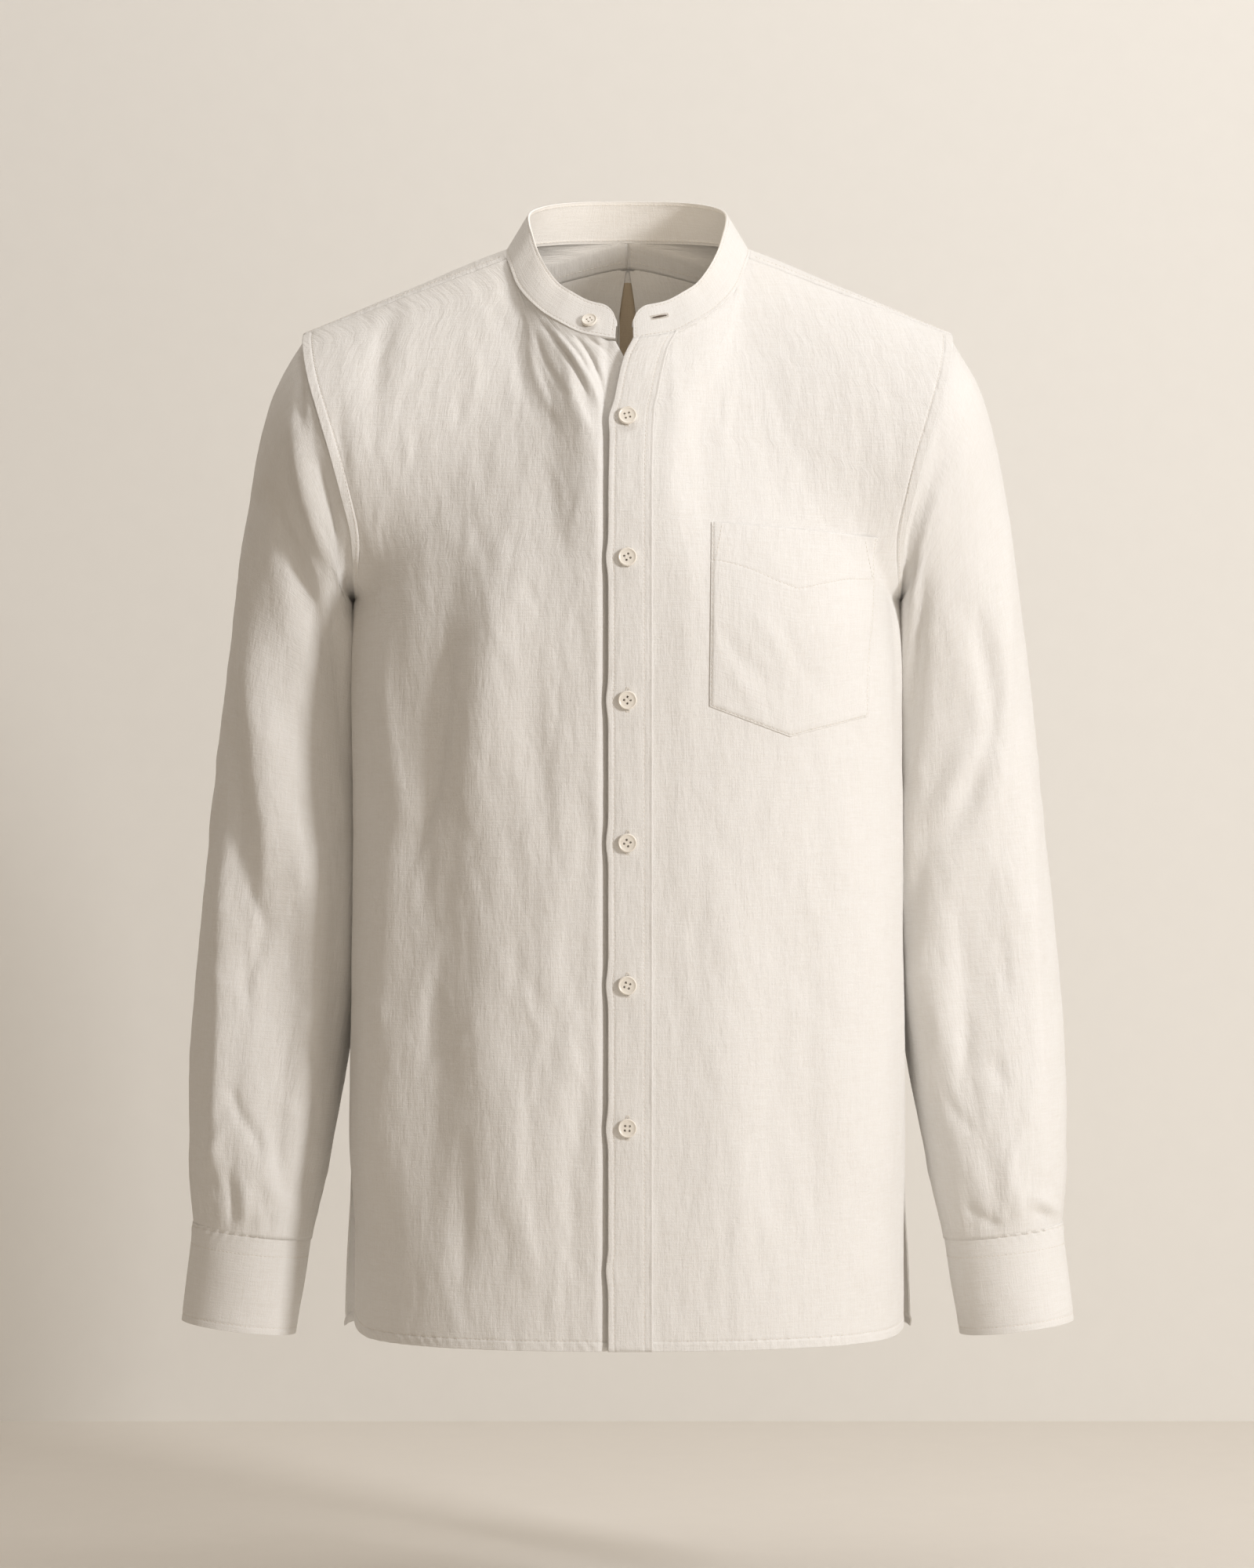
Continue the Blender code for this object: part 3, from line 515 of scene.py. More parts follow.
FRONT_TOP_Z = -0.0635
FRONT_LEFT = body_cloth(True, front_top(COLLAR_END_LEFT), FRONT_TOP_Z,
                        lambda z: EDGE.at(z, "left"), YOKE_TIP_FRONT, HEM_RISE_LEFT)
FRONT_RIGHT = body_cloth(True, front_top(-COLLAR_END_RIGHT), FRONT_TOP_Z,
                         lambda z: -EDGE.at(z, "right"), YOKE_TIP_FRONT, HEM_RISE_RIGHT)
BACK = body_cloth(False, yoke_seam, YOKE_CENTRE[2], lambda z: 0 * z, YOKE_TIP_BACK)


# %% Rings, collar and yoke
def ring_point(table, angle, v, fullness=1.0):
    """A point of a sleeve or cuff ring: 0 is its outer side, 90 its front.

    A fullness below 1 squares the ring a little.
    """
    across, out = (np.sign(part) * np.abs(part) ** fullness
                   for part in (np.cos(np.radians(angle)), np.sin(np.radians(angle))))
    middle_y = table.at(v, "middle_y")
    outer = points(table.at(v, "outer_x"), middle_y, table.at(v, "outer_z"))
    inner = points(table.at(v, "inner_x"), middle_y, table.at(v, "inner_z"))
    point = blend((outer + inner) / 2, outer, across)
    point[..., 1] -= table.at(v, "depth") * out
    return point


ARMHOLE_MIDDLE = np.array((0.204, 0.004, -0.145))


def sleeve_plain(u, v):
    """One sleeve, its head tucked in under the body's armhole edge and its end into the cuff."""
    angle = 360 * u
    under = (1 - np.cos(np.radians(angle))) / 2
    beside_body = (angle % 360 > 90) & (angle % 360 < 180)
    squared = np.where(beside_body, mix(0.86, 0.62, smooth(v / 0.2)), 0.86)
    fullness = mix(squared, 1.0, smooth((v - 0.70) / 0.3))
    point = ring_point(SLEEVE, angle, v, fullness)
    point[..., 0] -= 0.0045 * under**2 * smooth((v - 0.02) / 0.10) * smooth((0.9 - v) / 0.3)
    start = armhole_point(angle)
    start += unit(ARMHOLE_MIDDLE - start) * 0.0013 + points(0.0012 * under - 0.0025, 0, 0)
    near = np.maximum(1 - v / 0.14, 0.0) ** 2
    point = point + (start - ring_point(SLEEVE, angle, 0 * v, fullness)) * near[..., None]
    end = smooth((v - 0.985) / 0.015)
    point[..., 2] -= 0.0035 * end
    return point


def cuff(u, v):
    """A strip that goes once round the wrist and then laps over its own start."""
    turn = CUFF_START + u * CUFF_TURN
    over = smooth((u * CUFF_TURN - 0.90) / 0.09) * (STIFF_CLOTH + LAYER_GAP)
    around = lambda a, b: ring_point(CUFF, 360 * a, b)
    return around(turn, v) + normal_of(around, turn, v, ring=True) * over[..., None]


COLLAR_START = math.degrees(math.asin(COLLAR_END_LEFT / NECK_HALF_WIDTH))
COLLAR_END = 360 + math.degrees(math.asin(COLLAR_END_RIGHT / NECK_HALF_WIDTH))
COLLAR_LENGTH = math.radians(COLLAR_END - COLLAR_START) * NECK_HALF_WIDTH


def collar(u, v):
    """The band, from the wearer's left end round the back to the right end."""
    angle = mix(COLLAR_START, COLLAR_END, u)
    low, high = neck_point(angle), collar_top_point(angle)
    from_end = np.minimum(u, 1 - u) * COLLAR_LENGTH
    near = np.clip(1 - from_end / COLLAR_ROUNDING, 0, 1)
    height = mix(0.42, 1.0, np.sqrt(1 - near**2))
    return blend(low - unit(high - low) * 0.0012, high, v * height)


def yoke(u, v):
    """Half the yoke, between the shoulder seam, the armhole, the back seam and the neck."""
    def inner(share):
        on_neck = neck_point(mix(SHOULDER_SEAM_ANGLE, 180, np.minimum(share / 0.86, 1)))
        return blend(on_neck, YOKE_CENTRE, np.maximum(share - 0.86, 0) / 0.14)

    def outer(share):
        front = mix(YOKE_TIP_FRONT, 0, np.minimum(share / 0.125, 1))
        return armhole_point(front + mix(0, YOKE_TIP_BACK, np.maximum(share - 0.125, 0) / 0.875))

    zero, one = 0 * v, 0 * v + 1
    between_seams = blend(shoulder_seam(u), yoke_seam(u), v)
    between_sides = blend(inner(v), outer(v), u)
    corners = blend(blend(inner(zero), outer(zero), u), blend(inner(one), outer(one), u), v)
    return between_seams + between_sides - corners


waist_y = -float(FRONT_LEFT(0.3, 0.4)[1])
print("forms ready; the front stands", round(waist_y, 3), "m forward at the waist")

# %% [markdown]
# ## Creases
# Pressed linen that has been worn a little holds long soft folds where the cloth hangs and short
# ones where it is gathered by a seam. Each is a trough or a ridge along a slightly bent line,
# listed in millimetres as seen from the front (x across, z up). It fades at both ends, and may be
# steeper on one side. Small seeded crinkles between them give the cloth its dry hand.

# %% Crease tools
MM = 0.001


def crease_height(creases, x, z):
    """How far creases lift the cloth at x, z: rows of x0 z0 x1 z1 bend width height lean, in mm."""
    lift = np.zeros(np.broadcast(x, z).shape)
    for x0, z0, x1, z1, bend, width, height, lean in np.array(creases, float).reshape(-1, 8):
        run_x, run_z = (x1 - x0) * MM, (z1 - z0) * MM
        length = math.hypot(run_x, run_z)
        along_x, along_z = run_x / length, run_z / length
        reach = 3.2 * width * MM + abs(bend) * MM
        near = ((x > min(x0, x1) * MM - reach) & (x < max(x0, x1) * MM + reach)
                & (z > min(z0, z1) * MM - reach) & (z < max(z0, z1) * MM + reach))
        at_x, at_z = x[near] - x0 * MM, z[near] - z0 * MM
        share = (at_x * along_x + at_z * along_z) / length
        inside = np.clip(share, 0, 1)
        across = at_x * along_z - at_z * along_x - bend * MM * 4 * inside * (1 - inside)
        half = width * MM * np.where(across > 0, 1 + lean, 1 - lean)
        beyond = (share - inside) * length / (0.8 * width * MM)
        taper = 0.25 + 0.75 * np.sin(np.pi * inside) ** 0.7
        lift[near] += height * MM * taper * np.exp(-(across / half) ** 2 - beyond**2)
    return lift


def scattered(seed, count, box, heading, spread, length, width, height):
    """Small seeded creases in a box of x0 z0 x1 z1, running about a heading in degrees from up."""
    dice = np.random.default_rng(seed)
    x, z = dice.uniform(box[0], box[2], count), dice.uniform(box[1], box[3], count)
    turn = np.radians(heading + spread * dice.normal(size=count))
    half = dice.uniform(*length, count) / 2
    bend = half * dice.uniform(-0.22, 0.22, count)
    size = dice.uniform(0.5, 1.0, count)
    tall = height * size * dice.choice((-1, 1), count, p=(0.45, 0.55))
    lean = dice.uniform(-0.35, 0.35, count)
    half_x, half_z = half * np.sin(turn), half * np.cos(turn)
    wide = dice.uniform(*width, count)
    ends = [x - half_x, z - half_z, x + half_x, z + half_z]
    return np.stack([*ends, bend, wide, tall, lean], axis=-1)


def crinkle(x, z, seed, heading=0.0, size=1.0):
    """A low rumple over all of a piece: bent waves that mostly run along a heading."""
    dice = np.random.default_rng(seed)
    lift = np.zeros(np.broadcast(x, z).shape)
    warp_x = x + 0.006 * np.sin(37 * z + 5 * dice.random()) + 0.003 * np.sin(83 * z + 41 * x)
    warp_z = z + 0.009 * np.sin(29 * x + 5 * dice.random()) + 0.004 * np.sin(67 * x + 31 * z)
    for wave in np.geomspace(0.085, 0.009, 16):
        turn = math.radians(heading) + 0.55 * dice.normal()
        step = (warp_x * math.cos(turn) - warp_z * math.sin(turn)) / wave
        swell = 0.6 + 0.4 * np.sin(9 * warp_z / wave**0.5 + 6 * dice.random())
        lift += 0.0055 * wave * swell * np.sin(math.tau * (step + dice.random()))
    return lift * size


def groove(distance):
    """The furrow that a row of stitches pulls into cloth; distance is from its line, in metres."""
    return -0.00036 * np.exp(-((distance / 0.0007) ** 2))


# %% Laying a piece of cloth
def ride(item, *solids, sheet=None):
    """Put a finished piece in the scene, on the shirt's body, in place of the solids it covers."""
    bpy.context.scene.collection.objects.link(item)
    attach(item, BODY_NAME)
    if solids:
        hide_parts(*solids)


def flat_cut(spots, share):
    """Where the points of a hanging panel lie on its upright cut: across by arc length, up by z."""
    order = np.lexsort((share[:, 0], share[:, 1]))
    columns = len(np.unique(share[:, 0].round(9)))
    rows = spots[order].reshape(-1, columns, 3)
    step = np.linalg.norm(np.diff(rows[..., :2], axis=1), axis=-1)
    across = np.concatenate([np.zeros((len(rows), 1)), np.cumsum(step, axis=1)], axis=1)
    middle = np.argmin(np.abs(rows[..., 0]), axis=1)
    start = across[np.arange(len(rows)), middle] - np.abs(rows[np.arange(len(rows)), middle, 0])
    cut = np.empty((len(spots), 2))
    cut[order] = np.stack([across - start[:, None], rows[..., 2]], axis=-1).reshape(-1, 2)
    return cut


def cloth_mesh(name, place, columns, rows, flat, close=False, upright=False, spacing=None):
    """A fine grid laid out by place(u, v), with its flat cut in metres as its UV map.

    spacing packs columns and rows closer near seams: pairs of grid share and cloth share for each.
    """
    grid = bmesh.new()
    bmesh.ops.create_grid(grid, x_segments=columns, y_segments=rows, size=0.5)
    mesh = bpy.data.meshes.new(name)
    grid.to_mesh(mesh)
    grid.free()
    flat_points = np.empty(len(mesh.vertices) * 3)
    mesh.vertices.foreach_get("co", flat_points)
    share = np.clip(flat_points.reshape(-1, 3)[:, :2] + 0.5, 0, 1)
    if spacing:
        share = np.stack([np.interp(share[:, axis], *np.array(spacing[axis]).T)
                          for axis in (0, 1)], axis=-1)
    spots = place(share[:, 0], share[:, 1])
    mesh.vertices.foreach_set("co", spots.ravel())
    corner = np.empty(len(mesh.loops), dtype=np.int32)
    mesh.loops.foreach_get("vertex_index", corner)
    cut = flat_cut(spots, share) if upright else share * flat
    mesh.uv_layers.new(name="cut").data.foreach_set("uv", cut[corner].ravel())
    if close:
        joined = bmesh.new()
        joined.from_mesh(mesh)
        bmesh.ops.remove_doubles(joined, verts=joined.verts, dist=0.00001)
        joined.to_mesh(mesh)
        joined.free()
    mesh.shade_smooth()
    mesh.set_sharp_from_angle(angle=math.radians(60))
    return mesh


def lay(name, place, columns, rows, thickness, flat, solid, held, close=False, rests_on=(),
        area=None, upright=False, spacing=None):
    """A piece of cloth on the solid that it replaces."""
    mesh = cloth_mesh(name, place, columns, rows, flat, close, upright, spacing)
    item = bpy.data.objects.new(name, mesh)
    item.data.materials.append(LINEN if thickness == CLOTH else LINEN_STIFF)
    wall = item.modifiers.new("wall", "SOLIDIFY")
    wall.thickness = thickness
    wall.offset = 0
    ride(item, solid, sheet={"flat": flat, "held": held, "rests_on": list(rests_on), "area": area})
    return item

# %% [markdown]
# ## Linen, thread and shell
# Linen is a plain weave of flax yarns that are thicker here and thinner there. The thick places,
# slubs, run along the yarns as short light and dark streaks. The weave is built on the cut's own
# coordinates in metres, so that its yarns follow each piece: lengthwise on the panels, and along
# the band on the collar. Between the yarns and the modelled creases lies a finer crinkle.

# %% The weave, a shared node group
YARN = 0.00062            # from one yarn to the next


def maths(tree, operation, first, second=None, third=None):
    """A math node on outputs or plain numbers; returns its output."""
    node = group_node(tree.nodes, "Math", operation=operation)
    for socket, value in zip(node.inputs, (first, second, third)):
        if value is None:
            continue
        if isinstance(value, (int, float)):
            socket.default_value = value
        else:
            tree.links.new(value, socket)
    return node.outputs[0]


def streaks(tree, vector, scale, detail, seed):
    """Noise stretched by the x and y of its scale; seed moves it elsewhere."""
    mapping = group_node(tree.nodes, "Mapping")
    set_inputs(mapping, {"Scale": (*scale, 1), "Location": (seed, seed * 1.7, seed * 0.3)})
    tree.links.new(vector, mapping.inputs["Vector"])
    noise = group_node(tree.nodes, "TexNoise")
    set_inputs(noise, {"Scale": 1, "Detail": detail, "Roughness": 0.55})
    tree.links.new(mapping.outputs["Vector"], noise.inputs["Vector"])
    return noise.outputs["Fac"]


def weave_group():
    """Outputs: Yarn, the weave's own height; Slub, light and dark streaks; Crinkle, a soft height;
    Cloud, how strong the streaks are from place to place."""
    tree = bpy.data.node_groups.new("linen_weave", "ShaderNodeTree")
    for name in ("Yarn", "Slub", "Crinkle", "Cloud"):
        tree.interface.new_socket(name, in_out="OUTPUT", socket_type="NodeSocketFloat")
    cut = group_node(tree.nodes, "UVMap", uv_map="cut").outputs["UV"]
    split = group_node(tree.nodes, "SeparateXYZ")
    tree.links.new(cut, split.inputs["Vector"])
    waves = [maths(tree, "SINE", maths(tree, "MULTIPLY", split.outputs[axis], math.pi / YARN))
             for axis in ("X", "Y")]
    over = maths(tree, "MULTIPLY", *waves)
    yarn_x, yarn_y = (maths(tree, "ABSOLUTE", wave) for wave in waves)
    higher = maths(tree, "MAXIMUM", yarn_x, yarn_y)
    yarn = maths(tree, "MULTIPLY_ADD", over, 0.5, maths(tree, "MULTIPLY", higher, 0.5))
    warp = streaks(tree, cut, (1050, 60), 4, 3.1)
    weft = streaks(tree, cut, (75, 950), 4, 7.7)
    grain = streaks(tree, cut, (1300, 1200), 2, 15.1)
    both = maths(tree, "MULTIPLY", maths(tree, "ADD", warp, weft), 0.35)
    slub = maths(tree, "MULTIPLY_ADD", grain, 0.30, both)
    small = streaks(tree, cut, (260, 90), 4, 11.3)
    large = streaks(tree, cut, (120, 34), 3, 5.9)
    crinkle = maths(tree, "MULTIPLY_ADD", small, 0.30, large)
    cloud = streaks(tree, cut, (26, 15), 3, 2.3)
    out = tree.nodes.new("NodeGroupOutput")
    for name, socket in (("Yarn", yarn), ("Slub", slub), ("Crinkle", crinkle), ("Cloud", cloud)):
        tree.links.new(socket, out.inputs[name])
    return tree


WEAVE = weave_group()

# %% Materials of the shirt
LINEN_LIGHT = (0.842, 0.832, 0.812)
LINEN_DARK = (0.680, 0.630, 0.560)


def linen_material(name, stiff, shade=(1, 1, 1)):
    """Linen in its light and dark yarns; stiff cloth, as in the collar, crinkles less.

    shade is painted shade: it darkens the colour, for the inside of a pleat, where hardly any light
    gets in.
    """
    material, tree, shader = new_material(name, 0.88)
    set_inputs(shader, {"Specular IOR Level": 0.25, "Sheen Weight": 0.12, "Sheen Roughness": 0.5})
    weave = group_node(tree.nodes, "Group", node_tree=WEAVE)
    ramp = group_node(tree.nodes, "MapRange")
    set_inputs(ramp, {"From Min": 0.36, "From Max": 0.62})
    tree.links.new(weave.outputs["Slub"], ramp.inputs["Value"])
    patchy = maths(tree, "MULTIPLY_ADD", weave.outputs["Cloud"], 0.34, 0.12)
    darkness = maths(tree, "MULTIPLY", maths(tree, "SUBTRACT", 1.0, ramp.outputs["Result"]), patchy)
    tinted(tree, shader, np.multiply(LINEN_LIGHT, shade), np.multiply(LINEN_DARK, shade), darkness)
    soft = group_node(tree.nodes, "Bump")
    set_inputs(soft, {"Strength": 1.0, "Distance": 0.0003 if stiff else 0.0010})
    tree.links.new(weave.outputs["Crinkle"], soft.inputs["Height"])
    fine = group_node(tree.nodes, "Bump")
    set_inputs(fine, {"Strength": 0.8, "Distance": 0.00031})
    yarns = maths(tree, "MULTIPLY", weave.outputs["Yarn"], 0.14)
    threads = maths(tree, "MULTIPLY_ADD", weave.outputs["Slub"], 2.3, yarns)
    tree.links.new(threads, fine.inputs["Height"])
    tree.links.new(soft.outputs["Normal"], fine.inputs["Normal"])
    tree.links.new(fine.outputs["Normal"], shader.inputs["Normal"])
    return material


def clouded(name, roughness, first, second, scale, detail, seed):
    """A plain material that drifts from one tone to another."""
    material, tree, shader = new_material(name, roughness)
    place = group_node(tree.nodes, "TexCoord").outputs["Object"]
    tinted(tree, shader, first, second, streaks(tree, place, scale, detail, seed))
    return material


LINEN = linen_material("linen_cloth", stiff=False)
LINEN_STIFF = linen_material("linen_stiffened", stiff=True)
# a copy of the linen with painted shade, for the shadow deep inside the box pleat
LINEN_PAINTED_SHADE = linen_material("linen_painted_pleat_shade", stiff=False, shade=(0.66, 0.56, 0.43))
# thread; painted shadow for the dark inside of a buttonhole, between its worked edges; polished
# shell, cream
THREAD = clouded("thread", 0.6, (0.84, 0.80, 0.74), (0.74, 0.69, 0.62), (2600, 900), 2, 4.4)
SLIT_PAINTED_SHADOW = clouded("slit_shadow", 1.0, (0.10, 0.075, 0.055), (0.17, 0.13, 0.10), (900, 900), 2, 2.2)
SHELL = clouded("button_shell_polished", 0.32, (0.90, 0.865, 0.80), (0.82, 0.76, 0.66),
                (260, 420), 4, 1.9)

# %% [markdown]
# ## The two fronts
# A front is one piece from hem to shoulder. Its hem is turned twice and stitched 6.5 mm up, where
# the turned cloth stands a little proud and ropes slightly. The armhole seam is felled: its edge is
# turned towards the body and stitched down 6.5 mm in.

# %% Fronts
HEM_BAND = 0.0065
FELL_BAND = 0.0065
FRONT_CUT = (0.285, 0.715)      # stated; the form measures 0.282 at most by 0.683 to 0.756
FRONT_SIZE = (0.28, 0.68)       # about its width and height, for placing soft folds

FRONT_RIGHT_CREASES = np.concatenate([
    (
        (-47, -60, -18, -110, -3, 2.0, 2.6, 0.3), (-58, -52, -27, -101, -3, 2.2, -2.4, 0.0),
        (-34, -62, -16, -112, -5, 1.8, -2.6, 0.2), (-27, -62, -13, -72, 0, 1.8, -1.6, 0.0),
        (-52, -56, -24, -104, -3, 1.7, 1.6, 0.0), (-66, -52, -46, -118, 5, 3.4, 1.8, 0.2),
        (-40, -62, -24, -92, -3, 1.6, 1.2, 0.0), (-62, -60, -38, -104, 3, 2.4, -1.4, 0.0),
        (-40, -84, -24, -128, 2, 4.5, 2.0, 0.3), (-76, -52, -58, -120, 5, 5.0, -1.4, 0.0),
        (-84, -215, -106, -440, 5, 20.0, 3.6, -0.3), (-106, -420, -90, -660, -4, 20.0, 3.6, -0.2),
        (-118, -215, -141, -430, 3, 15.0, -4.8, 0.2), (-141, -400, -132, -660, -4, 17.0, -5.0, 0.1),
        (-165, -262, -152, -380, 3, 9.0, 3.2, 0.2), (-160, -380, -168, -650, 4, 12.0, 3.0, 0.0),
        (-110, -262, -120, -310, 4, 6.0, -2.6, 0.2), (-120, -310, -147, -415, -3, 6.0, -3.0, 0.3),
        (-60, -300, -46, -420, 5, 9.0, -2.0, 0.2), (-40, -430, -56, -560, -5, 10.0, -2.0, 0.0),
        (-131, -466, -142, -540, 3, 7.0, 2.2, 0.3), (-74, -560, -64, -690, 4, 9.0, 2.2, 0.2),
        (-110, -596, -112, -700, -3, 7.0, -2.4, 0.2), (-30, -560, -38, -700, 3, 8.0, -1.6, 0.0),
        (-19, -130, -19, -730, 0, 9.0, 1.3, 0.0), (-196, -104, -181, -205, 2, 7.0, -2.4, 0.3),
    ),
    scattered(101, 70, (-178, -725, -30, -250), 2, 14, (18, 70), (2.4, 5.4), 0.6),
    scattered(102, 40, (-190, -250, -34, -80), -6, 12, (14, 60), (2.2, 5.0), 0.7),
])
FRONT_LEFT_CREASES = np.concatenate([
    (
        (100, -400, 108, -700, 6, 16.0, -1.6, 0.0), (60, -420, 52, -700, -6, 16.0, 1.4, 0.0),
        (150, -350, 140, -640, 6, 14.0, 1.5, 0.0), (48, -150, 40, -330, 3, 9.0, 0.9, 0.0),
        (178, -250, 150, -330, 6, 9.0, -1.4, 0.0), (30, -60, 36, -130, 3, 6.0, 0.8, 0.0),
        (124, -500, 132, -690, 5, 8.0, -1.2, 0.0), (75, -560, 84, -720, 3, 7.0, 0.9, 0.2),
    ),
    scattered(103, 50, (24, -720, 178, -340), -3, 13, (18, 70), (2.8, 6.5), 0.6),
    scattered(104, 26, (30, -190, 190, -80), 5, 12, (14, 50), (2.4, 5.0), 0.28),
])


def side_seam_ridge(point, v):
    """The felled side seam stands up as a soft ridge, where the panel turns to the side."""
    return 0.0022 * np.exp(-(((-point[..., 1] - 0.020) / 0.013) ** 2)) * smooth((0.735 - v) / 0.05)


def mirrored(place):
    """The wearer's right side piece of a left side one."""
    def placed(u, v):
        return place(1 - u, v) * (-1, 1, 1)
    return placed


def turned_band(distance, band):
    """The step of a turned and stitched edge, pulled in along its stitch line."""
    return 0.00026 * smooth((band - distance) / 0.0012) + groove(distance - band)


def roping(across, distance, band, seed):
    """The slanting ripples that a stitched band has."""
    dice = np.random.default_rng(seed)
    swell = 0.6 + 0.4 * np.sin(across / 0.031 + 6 * dice.random())
    wave = np.sin(math.tau * (across + 0.7 * distance) / 0.0078 + 1.5 * np.sin(across / 0.019))
    return 0.00046 * wave * swell * np.exp(-((distance - 0.6 * band) / (0.8 * band)) ** 2)


def edge_bands(x, v, armhole, seed, top_fade=1):
    """The turned hem and the felled armhole seam of a front or the back."""
    hem = v * PANEL_HEIGHT
    felled = turned_band(armhole, FELL_BAND) * smooth((v - ARMPIT_V + 0.01) / 0.02)
    return turned_band(hem, HEM_BAND) + roping(x, hem, HEM_BAND, seed) + felled * top_fade


def calmer_at(armhole):
    """Creases are low beside the armhole seam, which holds the cloth."""
    return mix(0.4, 1.0, smooth(armhole / 0.012))


def front_height(place, folds, creases, seed, u, v):
    """How far folds, creases and turned edges lift a front; place runs from its middle out."""
    point = place(u, v)
    x, z = point[..., 0], point[..., 2]
    from_middle = np.abs(x)
    armhole = np.linalg.norm(point - place(np.ones_like(u), v), axis=-1)
    soft = fold_height(folds, u, v, *FRONT_SIZE) * smooth((from_middle - 0.020) / 0.030)
    fine = crease_height(creases, x, z) + crinkle(x, z, seed, 4, 0.38)
    loose = smooth((from_middle - 0.012) / 0.018) * calmer_at(armhole)
    bands = edge_bands(x, v, armhole, seed, smooth((1.0 - v) / 0.01))
    return soft + fine * loose + bands + side_seam_ridge(point, v)


def drawn_in(point, reach):
    """Below the side vents a front's corner is drawn in, so that the tail shows beside it."""
    side = smooth((np.abs(point[..., 0]) - 0.12) / 0.06) * smooth((-0.60 - point[..., 2]) / 0.07)
    return point - points(np.sign(point[..., 0]) * reach * side, 0, 0)


def front_left(u, v):
    height = front_height(FRONT_LEFT, FRONT_LEFT_FOLDS, FRONT_LEFT_CREASES, 5, u, v)
    return drawn_in(FRONT_LEFT(u, v) + normal_of(FRONT_LEFT, u, v) * height[..., None], 0.0016)


FRONT_RIGHT_MIRRORED = mirrored(FRONT_RIGHT)


def front_right(u, v):
    """Where it runs under the wearer's left front it lies one layer further in."""
    point = FRONT_RIGHT_MIRRORED(u, v)
    x, z = point[..., 0], point[..., 2]
    armhole = np.linalg.norm(point - FRONT_RIGHT_MIRRORED(np.zeros_like(u), v), axis=-1)
    soft = fold_height(FRONT_RIGHT_FOLDS, u, v, *FRONT_SIZE) * smooth((-x - 0.020) / 0.030)
    fine = crease_height(FRONT_RIGHT_CREASES, x, z) + crinkle(x, z, 11, -4, 0.5)
    loose = smooth((-x - 0.008) / 0.014) * calmer_at(armhole)
    under = smooth((x + 0.0200) / 0.0070) * 0.0036
    height = (soft + fine * loose + edge_bands(x, v, armhole, 3) + side_seam_ridge(point, v)
              - under)
    return drawn_in(point + normal_of(FRONT_RIGHT_MIRRORED, u, v) * height[..., None], 0.0040)


# pairs of grid share and cloth share: columns lie close together in the armhole's felled band,
# and rows in the hem and at the top
EVENLY = ((0, 0), (1, 1))
FRONT_COLUMNS_AT = ((0, 0), (0.05, 0.02), (0.85, 0.955), (0.91, 0.968), (1, 1))
FRONT_RIGHT_COLUMNS_AT = ((0, 0), (0.08, 0.032), (0.13, 0.045), (0.60, 0.70), (1, 1))
FRONT_ROWS_AT = ((0, 0), (0.07, 0.013), (0.95, 0.985), (1, 1))
lay("front_left_cloth", front_left, 112, 236, CLOTH, FRONT_CUT, "front_left", "hung",
    upright=True, spacing=(FRONT_COLUMNS_AT, FRONT_ROWS_AT))
lay("front_right_cloth", front_right, 150, 236, CLOTH, FRONT_CUT, "front_right", "hung",
    upright=True, spacing=(FRONT_RIGHT_COLUMNS_AT, FRONT_ROWS_AT), rests_on=("front_left_cloth",))
print("fronts laid")

# %% [markdown]
# ## The back and its yoke
# The back hangs from a split yoke. Under it the cloth is folded into a box pleat at the centre,
# whose folds open out towards the tail. Outside, the pleat's top layer stands a few millimetres
# proud; inside, its folds meet at the yoke seam and part below it. A fold needs a column of the
# grid exactly on it, so the columns are shared out between its corners.

# %% Back
BACK_CUT = (0.62, 0.76)       # stated, pleat laid open; the form measures 0.559 by 0.748
BACK_SIZE = (0.52, 0.72)
PLEAT_KNOTS = (0.0, 0.06, 0.08, 0.12, 0.14, 0.20)     # shares of the half width at its corners
BACK_CREASES = np.concatenate([
    (
        (-95, -110, -70, -330, 10, 12.0, 2.6, 0.2), (100, -120, 78, -320, -10, 12.0, 2.4, -0.2),
        (-150, -230, -105, -350, 8, 9.0, -2.6, 0.0), (152, -232, 110, -360, -8, 9.0, -2.6, 0.0),
        (-84, -330, -96, -640, 6, 16.0, -3.4, 0.2), (92, -300, 104, -620, -5, 16.0, -3.4, -0.2),
        (-140, -360, -132, -700, 5, 15.0, 3.0, 0.0), (146, -380, 138, -690, -4, 15.0, 3.0, 0.0),
        (-50, -420, -58, -700, -4, 11.0, 2.4, 0.2), (56, -400, 62, -690, 4, 11.0, 2.4, 0.0),
        (-172, -250, -160, -420, 4, 9.0, 2.2, 0.0), (172, -260, 158, -430, -4, 9.0, 2.2, 0.0),
    ),
    scattered(121, 90, (-180, -730, 180, -90), 0, 14, (18, 70), (2.6, 6.0), 0.9),
])


def back_smooth(u, v):
    """The back without its pleat, from the wearer's left to right."""
    point = BACK(np.abs(1 - 2 * u), v)
    return point * points(np.where(u < 0.5, 1, -1), 1, 1)


